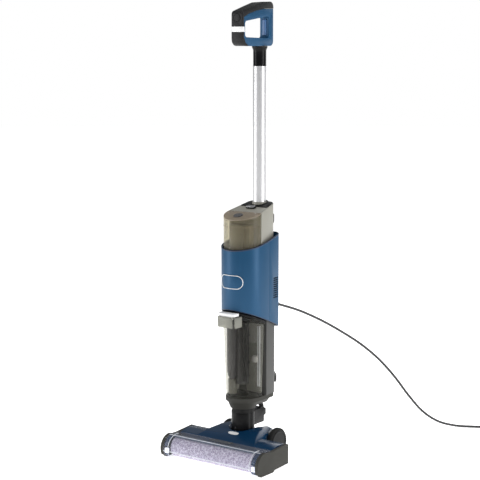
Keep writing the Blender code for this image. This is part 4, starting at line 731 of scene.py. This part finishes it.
# %% White finishes
gloss_white = plastic("gloss_white", (0.80, 0.80, 0.80), (0.86, 0.86, 0.86), 0.28, 600, 0.03)
lamp = Finish("lamp_lens")
facets = lamp.cells(420)
lamp_tone = lamp.blended(facets, shade(1.0, 1.0, 1.0), shade(0.75, 0.82, 1.0))
lamp_lens = lamp.done(lamp.gloss({"Base Color": shade(0.92, 0.94, 0.97), "Roughness": 0.12 + facets * 0.1,
                                  "Emission Color": lamp_tone, "Emission Strength": 0.9,
                                  "Normal": lamp.bumped(facets, 0.4, 0.0004)}))
softened("badge_plate", sleeve_blue, 0.0003)
for node in ("tank_release", "grip_band"):
    softened(node, gloss_white, 0.0003)
for node in ("headlight_left", "headlight_right"):
    softened(node, lamp_lens, 0.0005)

# %% [markdown]
# ## The tube and its collar
# The tube is the roundest and shiniest piece, and flat facets would show in its reflections. So it is
# turned again with many more sides and with both its rims eased, and the collar above it is turned with
# the same care. Both keep the CAD's radii, so the collar's plug still fits the tube.

# %% Tube and collar
tube_low, tube_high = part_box("wand_tube")
TUBE_Y = (tube_low.y + tube_high.y) / 2
TUBE_RADIUS = (tube_high.y - tube_low.y) / 2
wall = 0.0012
tube_profile = [(TUBE_RADIUS - wall, tube_high.z), (TUBE_RADIUS - 0.0003, tube_high.z),
                (TUBE_RADIUS, tube_high.z - 0.0003), (TUBE_RADIUS, tube_low.z + 0.0003),
                (TUBE_RADIUS - 0.0003, tube_low.z), (TUBE_RADIUS - wall, tube_low.z)]
tube_centre = (0, TUBE_Y, 0)
add_piece(turned("wand_metal", tube_profile, tube_centre, "Z", 120), "upper", tube_metal,
          ["wand_tube"])
collar_low, collar_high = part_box("wand_collar")
plug_radius = TUBE_RADIUS - wall - 0.0003
collar_foot, collar_top = tube_high.z + 0.0003, collar_high.z
collar_profile = [(0, collar_top), (0.0200, collar_top), (0.0205, collar_top - 0.0006),
                  (0.0200, collar_top - 0.0040), (0.0184, collar_top - 0.0072),
                  (0.0172, collar_top - 0.0102), (0.0170, collar_top - 0.0150),
                  (0.0168, collar_foot + 0.0028), (0.0172, collar_foot + 0.0022),
                  (0.0172, collar_foot + 0.0004), (0.0168, collar_foot), (plug_radius, collar_foot),
                  (plug_radius, collar_low.z + 0.001), (plug_radius - 0.001, collar_low.z), (0, collar_low.z)]
add_piece(turned("collar_body", collar_profile, tube_centre, "Z", 96), "upper", neck_black,
          ["wand_collar"])
print("tube radius", round(TUBE_RADIUS, 4), "from", round(tube_low.z, 3), "to", round(tube_high.z, 3))

# %% [markdown]
# ## The sleeve's lips
# The blue sleeve ends in a rolled lip, darker than its skin, both where it holds the clean tank and above
# the dirty tank. The lip follows the sleeve's outline on a sloping plane. A bar swept along that closed
# line gives it, because a bevel on the shell's own edge would have to turn the two seams at the sides as
# well.

# %% Sleeve lips
AXIS_Y = 0.020
SLEEVE_RADIUS, SLEEVE_WALL = 0.0580, 0.0025
SLEEVE_FRONT = AXIS_Y - SLEEVE_RADIUS
RIM_Z, RIM_SLOPE = 0.5475, 0.225
HEM_Z, HEM_SLOPE = 0.3955, -0.40
FLANK_Y, REAR_Y, REAR_HALF = 0.0545, 0.1175, 0.0500


def round_front(radius, degrees, *height):
    """A point round the body's upright axis, flat or at a height."""
    turn = math.radians(degrees)
    return Vector((radius * math.cos(turn), AXIS_Y + radius * math.sin(turn), *height))


def sleeve_outline(inset):
    """The sleeve's outline from above: a round front, flat flanks and rounded rear corners."""
    radius = SLEEVE_RADIUS - inset
    rear, half, turn = REAR_Y - inset, REAR_HALF - inset, 0.022 - inset
    return [round_front(radius, a) for a in range(180, 361, 5)] + rounded(
        [(radius, FLANK_Y, 0), (half, rear, turn), (-half, rear, turn), (-radius, FLANK_Y, 0)], 8)


def on_slope(line, front_z, slope, lift=0.0):
    """Lifts an outline on to the sloping plane of a rim or a hem."""
    return [Vector((u, v, front_z + slope * (v - SLEEVE_FRONT) + lift)) for u, v in line]


middle = SLEEVE_WALL / 2
rim_path = smooth_path(on_slope(sleeve_outline(middle), RIM_Z, RIM_SLOPE, 0.0002), 0.004, True)
add_piece(bar_along("sleeve_rim", rim_path, 0.0019, 14, True), "upper", rim_blue)
hem_path = smooth_path(on_slope(sleeve_outline(middle), HEM_Z, HEM_SLOPE, 0.0), 0.004, True)
add_piece(bar_along("sleeve_hem", hem_path, 0.0014, 12, True), "upper", rim_blue)
print("rim and hem of the sleeve have", len(rim_path), "and", len(hem_path), "stations")

# %% [markdown]
# ## A blank badge
# The front of the sleeve carries an oval badge. It is left blank: a thin raised white line round an oval
# of the sleeve's own blue. The line is a bar bent round the sleeve, so that it hugs the round front.

# %% Badge
BADGE_HALF, BADGE_LOW, BADGE_HIGH = 0.0350, 0.4510, 0.4850
BADGE_TURN = 0.0169


def on_sleeve(arc_length, z, lift):
    """A point on the round front, from its distance along the surface and its height."""
    turn = arc_length / SLEEVE_RADIUS
    radius = SLEEVE_RADIUS + lift
    return Vector((radius * math.sin(turn), AXIS_Y - radius * math.cos(turn), z))


pill = rounded([(-BADGE_HALF, BADGE_LOW, BADGE_TURN), (BADGE_HALF, BADGE_LOW, BADGE_TURN),
                (BADGE_HALF, BADGE_HIGH, BADGE_TURN), (-BADGE_HALF, BADGE_HIGH, BADGE_TURN)], 10)
stations = []
for here, ahead in zip(pill, pill[1:] + pill[:1]):
    steps = max(1, round((ahead - here).length / 0.002))
    stations += [on_sleeve(*here.lerp(ahead, k / steps), 0.0017) for k in range(steps)]
badge_path = smooth_path(stations, 0.0012, True)
add_piece(bar_along("badge_line", badge_path, 0.00085, 10, True), "upper", gloss_white)

# %% [markdown]
# ## Air vents
# Behind the ten slots on each flank sits a thin black plate just inside the wall. It is painted shade: a dark
# sheet that turns each slot into a deep black line.

# %% Vent shade sheets
# The near-black sheet is painted shade in the vent slots.
vent_shade_black = grained("vent_shade_black", (0.002, 0.002, 0.002), (0.005, 0.005, 0.005), 0.9, 900, 0.6)
for side, name in ((-1, "vent_shade_sheet_left"), (1, "vent_shade_sheet_right")):
    low = slab(name, rounded([(0.0745, 0.4135, 0.001), (0.1025, 0.4135, 0.001), (0.1025, 0.4695, 0.001),
                              (0.0745, 0.4695, 0.001)], 2), 0.0, 0.0010, "YZ", 0.0002)
    for vertex in low.vertices:
        flank = SLEEVE_RADIUS + (REAR_HALF - SLEEVE_RADIUS) * (vertex.co.y - FLANK_Y) / (REAR_Y - FLANK_Y)
        vertex.co.x = side * (flank - SLEEVE_WALL - 0.0006 - vertex.co.x)
    add_piece(low, "upper", vent_shade_black)

# %% [markdown]
# ## The roller's nap
# The roller wears a sleeve of short microfibre, white with lilac tufts. Hair particles would be far too
# heavy, so the sleeve is a fine grid whose points sink and rise with two sizes of noise, wound in a slow
# spiral like the real pile, and the colour comes from small cells of white and lilac. It only sinks, so
# it stays clear of the window.

# %% Roller nap
nap_low, nap_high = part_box("brush_roller")
ROLLER_Y, ROLLER_Z = (nap_low.y + nap_high.y) / 2, (nap_low.z + nap_high.z) / 2
NAP_RADIUS = (nap_high.z - nap_low.z) / 2
NAP_DEPTH, NAP_TWIST = 0.0055, 9
TUFT_DEPTH, LOCK_DEPTH, EDGE_DEPTH = 0.0011, 0.0008, 0.0016
around, along = 132, 340
nap_shape = bmesh.new()
rings = []
for column in range(along + 1):
    x = nap_low.x + (nap_high.x - nap_low.x) * column / along
    edge = min(column, along - column)
    ring = []
    for row in range(around):
        turn = 2 * math.pi * row / around + x * NAP_TWIST
        across = Vector((math.cos(turn), math.sin(turn)))
        spot = Vector((x * 300, across.x * 8, across.y * 8))
        tuft = 0.5 + 0.5 * noise.noise(spot)
        lock = 0.5 + 0.5 * noise.noise(spot * 0.22)
        sink = TUFT_DEPTH * tuft + LOCK_DEPTH * lock + (EDGE_DEPTH if edge < 2 else 0.0)
        ring.append(nap_shape.verts.new((x, ROLLER_Y + (NAP_RADIUS - sink) * across.x,
                                         ROLLER_Z + (NAP_RADIUS - sink) * across.y)))
    rings.append(ring)
core = NAP_RADIUS - NAP_DEPTH
for x in (nap_high.x, nap_low.x):
    turns = [2 * math.pi * row / around + x * NAP_TWIST for row in range(around)]
    rings.append([nap_shape.verts.new((x, ROLLER_Y + core * math.cos(turn), ROLLER_Z + core * math.sin(turn)))
                  for turn in turns])
for first, second in zip(rings, rings[1:] + rings[:1]):
    for row in range(around):
        n = (row + 1) % around
        nap_shape.faces.new((first[row], first[n], second[n], second[row]))
nap = Finish("microfibre_nap")
tufts = nap.cells(210)
curls = nap.clouds(1300, 3)
patch = nap.clouds(70, 4)
nap_share = (tufts * 1.5 + patch * 0.8 - 0.65).clipped()
nap_tone = nap.blended(nap_share, shade(0.33, 0.28, 0.38), shade(0.78, 0.74, 0.80))
microfibre_nap = nap.done(nap.gloss({"Base Color": nap_tone, "Roughness": 0.9, "Sheen Weight": 0.35,
                                     "Sheen Roughness": 0.5, "Sheen Tint": shade(0.95, 0.92, 1.0),
                                     "Normal": nap.bumped(curls, 0.7, 0.0008)}))
add_piece(finished_mesh("roller_nap", nap_shape, 80), "brush", microfibre_nap,
          ["brush_roller"])
print("the nap has", (along + 1) * around, "points")

# %% [markdown]
# ## Trims laid on a curved shell
# A badge or a seam has to follow the shell that it sits on. `laid_on` drops a ray from above each point
# of an outline on to the CAD shell and lifts the point a little, so that the trim hugs the surface. The
# trim is a thin closed solid made of rings that shrink towards the middle, which lets it bend in both
# directions.

# %% Trims on a shell
def shell_tree(node):
    """A search tree of a CAD node's faces."""
    source = frame["nodes"][node].data
    return BVHTree.FromPolygons([v.co for v in source.vertices], [p.vertices for p in source.polygons])


def laid_on(name, tree, centre, half_u, half_v, lift=0.0005, thick=0.0006, rings=7, steps=56, power=2.6):
    """A rounded plate that follows a shell seen from above."""
    shape = bmesh.new()

    def drop(u, v, raise_by):
        hit = tree.ray_cast(Vector((u, v, 0.5)), Vector((0, 0, -1)))[0]
        return Vector((u, v, hit.z + raise_by))
    layers = []
    for raise_by in (lift, -thick):
        layer = [[shape.verts.new(drop(centre[0], centre[1], raise_by))]]
        for ring in range(1, rings + 1):
            share = ring / rings
            low = raise_by - (0.0003 if ring == rings and raise_by > 0 else 0)
            row = []
            for step in range(steps):
                turn = 2 * math.pi * step / steps
                c, s = math.cos(turn), math.sin(turn)
                u = centre[0] + half_u * share * math.copysign(abs(c) ** (2 / power), c)
                v = centre[1] + half_v * share * math.copysign(abs(s) ** (2 / power), s)
                row.append(shape.verts.new(drop(u, v, low)))
            layer.append(row)
        layers.append(layer)
    for layer in layers:
        for first, second in zip(layer, layer[1:]):
            for step in range(steps):
                corners = [first[step % len(first)], first[(step + 1) % len(first)],
                           second[(step + 1) % steps], second[step]]
                shape.faces.new(list(dict.fromkeys(corners)))
    for step in range(steps):
        n = (step + 1) % steps
        shape.faces.new((layers[0][-1][step], layers[0][-1][n], layers[1][-1][n], layers[1][-1][step]))
    return finished_mesh(name, shape, 50)


cover_tree = shell_tree("head_cover")
hump_badge = laid_on("hump_badge", cover_tree, (0.004, -0.030), 0.016, 0.0062)
add_piece(hump_badge, "head", gloss_white)

# %% [markdown]
# ## The roller window's details
# The clear window is one moulding, with a seam along the middle of its front, a bead along its shoulder and a
# rib at each end. These bars are painted highlights: their pale, mostly opaque finish puts in the light that
# such thick places catch, whatever the lamps do. Between the roller's ends and the side caps, two blue bands
# lie behind the window, above and below each lamp. A blue liner darkens its top, and on it sits a blank grey
# tab for the fingers that lift the window out.

# %% Window details
ARC_Y, ARC_Z, ARC_RADIUS = -0.100, 0.0238, 0.0350
window_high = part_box("brush_window")[1]
# Pale, mostly opaque finish: painted highlight lines on the window's bars and the tank's strips.
painted_highlight_bead = clear_wall("painted_highlight_bead", (0.92, 0.94, 0.98), (0.86, 0.89, 0.93), 0.78, 0.12, 0.20)


def on_arc(degrees, x, radius=ARC_RADIUS):
    """A point on the window's round front: 180 degrees is straight ahead and 90 is on top."""
    turn = math.radians(degrees)
    return Vector((x, ARC_Y + radius * math.cos(turn), ARC_Z + radius * math.sin(turn)))


half_window = window_high.x - 0.0012
for name, degrees, size in (("window_seam", 186, 0.0010), ("window_shoulder", 104, 0.0007)):
    line = [on_arc(degrees, x * half_window, ARC_RADIUS + 0.0001) for x in (-1, -0.5, 0, 0.5, 1)]
    add_piece(bar_along(name, line, size, 12), "window", painted_highlight_bead)
for side, name in ((-1, "window_rib_left"), (1, "window_rib_right")):
    line = [on_arc(a, side * (window_high.x - 0.0165), ARC_RADIUS + 0.0001) for a in range(76, 212, 4)]
    add_piece(bar_along(name, line, 0.0009, 12), "window", painted_highlight_bead)


def arc_band(name, low, high, start, end, inner, outer):
    """A bent strip behind the window, from x low to high between two angles."""
    angles = [start + (end - start) * k / 20 for k in range(21)]
    out = [on_arc(a, 0, outer) for a in angles]
    back = [on_arc(a, 0, inner) for a in reversed(angles)]
    return slab(name, [Vector((p.y, p.z)) for p in out + back], low, high, "YZ", 0.0003)


for side, name in ((-1, "left"), (1, "right")):
    edges = sorted((side * 0.1335, side * 0.1462))
    for part, start, end in (("band", 84, 166), ("foot", 200, 214)):
        mesh = arc_band(f"end_{part}_{name}", *edges, start, end, 0.0300, 0.0318)
        add_piece(mesh, "head", cover_blue)
liner_blue = plastic("liner_blue", (0.070, 0.105, 0.160), (0.105, 0.145, 0.205), 0.35, 400, 0.03)
liner = arc_band("window_liner", -0.1320, 0.1320, 72, 104, 0.0303, 0.0318)
add_piece(liner, "window", liner_blue)
tab_clear = clear_wall("tab_clear", (0.55, 0.56, 0.58), (0.16, 0.17, 0.19), 0.35, 0.12, 0.3)
window_tree = shell_tree("brush_window")
tab = laid_on("window_tab", window_tree, (0.0, -0.0775), 0.034, 0.0115, 0.0007, 0.0002, 7, 64, 6)
add_piece(tab, "window", tab_clear)

# %% [markdown]
# ## Inside the dirty water tank
# Through the clear wall we see what the tank holds: the black separator with its ribs, a dark duct that
# stands on a paler sump post, the black riser that carries dirty water up from the inlet, and the opaque
# back. Two pale strips at one side are painted highlights, the vertical glints on the tank wall. Without
# these the tank would look like an empty jar. They all ride with the tank when it is lifted out.

# %% Dirty tank's insides
SEPARATOR_Y = 0.0135
duct_grey = plastic("duct_grey", (0.085, 0.083, 0.088), (0.125, 0.122, 0.130), 0.5, 500, 0.04,
                    Specular_IOR_Level=0.3)
riser_black = plastic("riser_black", (0.003, 0.003, 0.0035), (0.006, 0.006, 0.0065), 0.4, 500, 0.03,
                      Specular_IOR_Level=0.2)
back_sage = plastic("back_sage", (0.30, 0.30, 0.275), (0.40, 0.40, 0.37), 0.5, 300, 0.04,
                    Specular_IOR_Level=0.3)
TANK = "dirty_water_tank"
DUCT_X = -0.0195
sump_grey = plastic("sump_grey", (0.150, 0.147, 0.128), (0.230, 0.226, 0.200), 0.45, 260, 0.04,
                    Specular_IOR_Level=0.3)
duct = [(0, 0.3600), (0.0136, 0.3600), (0.0142, 0.3590), (0.0135, 0.2260), (0.0105, 0.2120),
        (0.0070, 0.2060), (0, 0.2060)]
add_piece(turned("air_duct", duct, (DUCT_X, -0.0035, 0), "Z", 40), TANK, duct_grey)
sump = [(0, 0.2052), (0.0112, 0.2052), (0.0118, 0.2040), (0.0112, 0.1666), (0.0108, 0.1660), (0, 0.1660)]
add_piece(turned("sump_post", sump, (DUCT_X, -0.0020, 0), "Z", 40), TANK, sump_grey)
for number in range(4):
    z = 0.212 + 0.036 * number
    profile = [(0.0165, z), (0.0200, z + 0.0004), (0.0200, z + 0.0016), (0.0165, z + 0.002)]
    ring = turned(f"separator_rib_{number}", profile, (0, SEPARATOR_Y, 0), "Z", 48)
    add_piece(ring, TANK, riser_black)
riser = [Vector((0.0235, -0.006, z)) for z in (0.206, 0.24, 0.28, 0.32, 0.3605)]
add_piece(bar_along("riser", riser, 0.0058, 20, False, 1.5), TANK, riser_black)
back_plate = rounded([(-0.043, 0.1665, 0.003), (0.043, 0.1665, 0.003), (0.0485, 0.350, 0.003),
                      (-0.0485, 0.350, 0.003)], 4)
add_piece(slab("tank_back", back_plate, -0.0412, -0.0404, "XZ", 0.0002), TANK, back_sage)
# Two pale strips: painted highlights for the vertical glints on the tank wall.
for number, x in enumerate((0.034, 0.040)):
    strip_line = [Vector((x, 0.036, z)) for z in (0.185, 0.25, 0.345)]
    strip_mesh = bar_along(f"tank_highlight_strip_{number}", strip_line, 0.0016, 12)
    add_piece(strip_mesh, TANK, painted_highlight_bead)

# %% [markdown]
# ## Inside the clean water tank
# The clean tank has a smoked inner wall that masks the pump's hose, and a dark foot where its valve plugs
# in. A step in the wall, an eye's width below the lid, carries the maximum mark, without any lettering.

# %% Clean tank's insides
core_smoke = clear_wall("core_smoke", (0.64, 0.60, 0.50), (0.30, 0.275, 0.215), 0.40, 0.16, 0.3)
core = rounded([(-0.030, -0.010, 0.012), (0.034, -0.010, 0.012), (0.034, 0.020, 0.004),
                (-0.030, 0.020, 0.004)], 6)
add_piece(slab("tank_core", core, 0.5055, 0.6120, "XY", 0.0006), "clean_water_tank", core_smoke)
foot = [round_front(0.0465, a) for a in range(188, 353, 5)]
add_piece(slab("tank_foot", foot, 0.5040, 0.5400, "XY", 0.0006), "clean_water_tank", riser_black)
mark = [round_front(0.0527, a, 0.6085) for a in range(184, 357, 4)]
add_piece(bar_along("tank_mark", mark, 0.0006, 8), "clean_water_tank", lid_smoke)

# %% [markdown]
# ## The deck round the tube
# Where the tube plugs into the upper body, a polished black deck with a pale metal pad covers the slanted
# top. The deck is an outline extruded by a millimetre and leaned to the slope. It has no hole: the tube
# and its socket pass through it, and a turned ring covers the place where they do.

# %% Deck
TOP_Z, TOP_FRONT, LEAN = 0.6285, -0.0325, 0.25


def deck_place(y):
    """The slanted top's frame at a distance y from the axis."""
    height = TOP_Z + LEAN * (y - TOP_FRONT)
    return Matrix.Translation((0, y, height)) @ Matrix.Rotation(math.atan(LEAN), 4, "X")


deck = rounded([(-0.0440, -0.0200, 0.006), (0.0440, -0.0200, 0.006), (0.0365, 0.0235, 0.016),
                (-0.0365, 0.0235, 0.016)], 6)
add_piece(slab("deck", deck, 0.0003, 0.0014, "XY", 0.0004, deck_place(0.082)), "upper", neck_black)
pad = rounded([(-0.0140, -0.0060, 0.003), (0.0140, -0.0060, 0.003), (0.0110, 0.0060, 0.003),
               (-0.0110, 0.0060, 0.003)], 5)
add_piece(slab("deck_pad", pad, 0.0052, 0.0062, "XY", 0.0004, deck_place(0.052)), "latch",
          motor_steel)
ring = [(0.0196, 0.0004), (0.0238, 0.0004), (0.0242, 0.0010), (0.0236, 0.0024), (0.0196, 0.0030)]
ring_mesh = turned("deck_ring", ring, (0, 0, 0), "Z", 72)
ring_mesh.transform(deck_place(0.089))
add_piece(ring_mesh, "upper", neck_black)
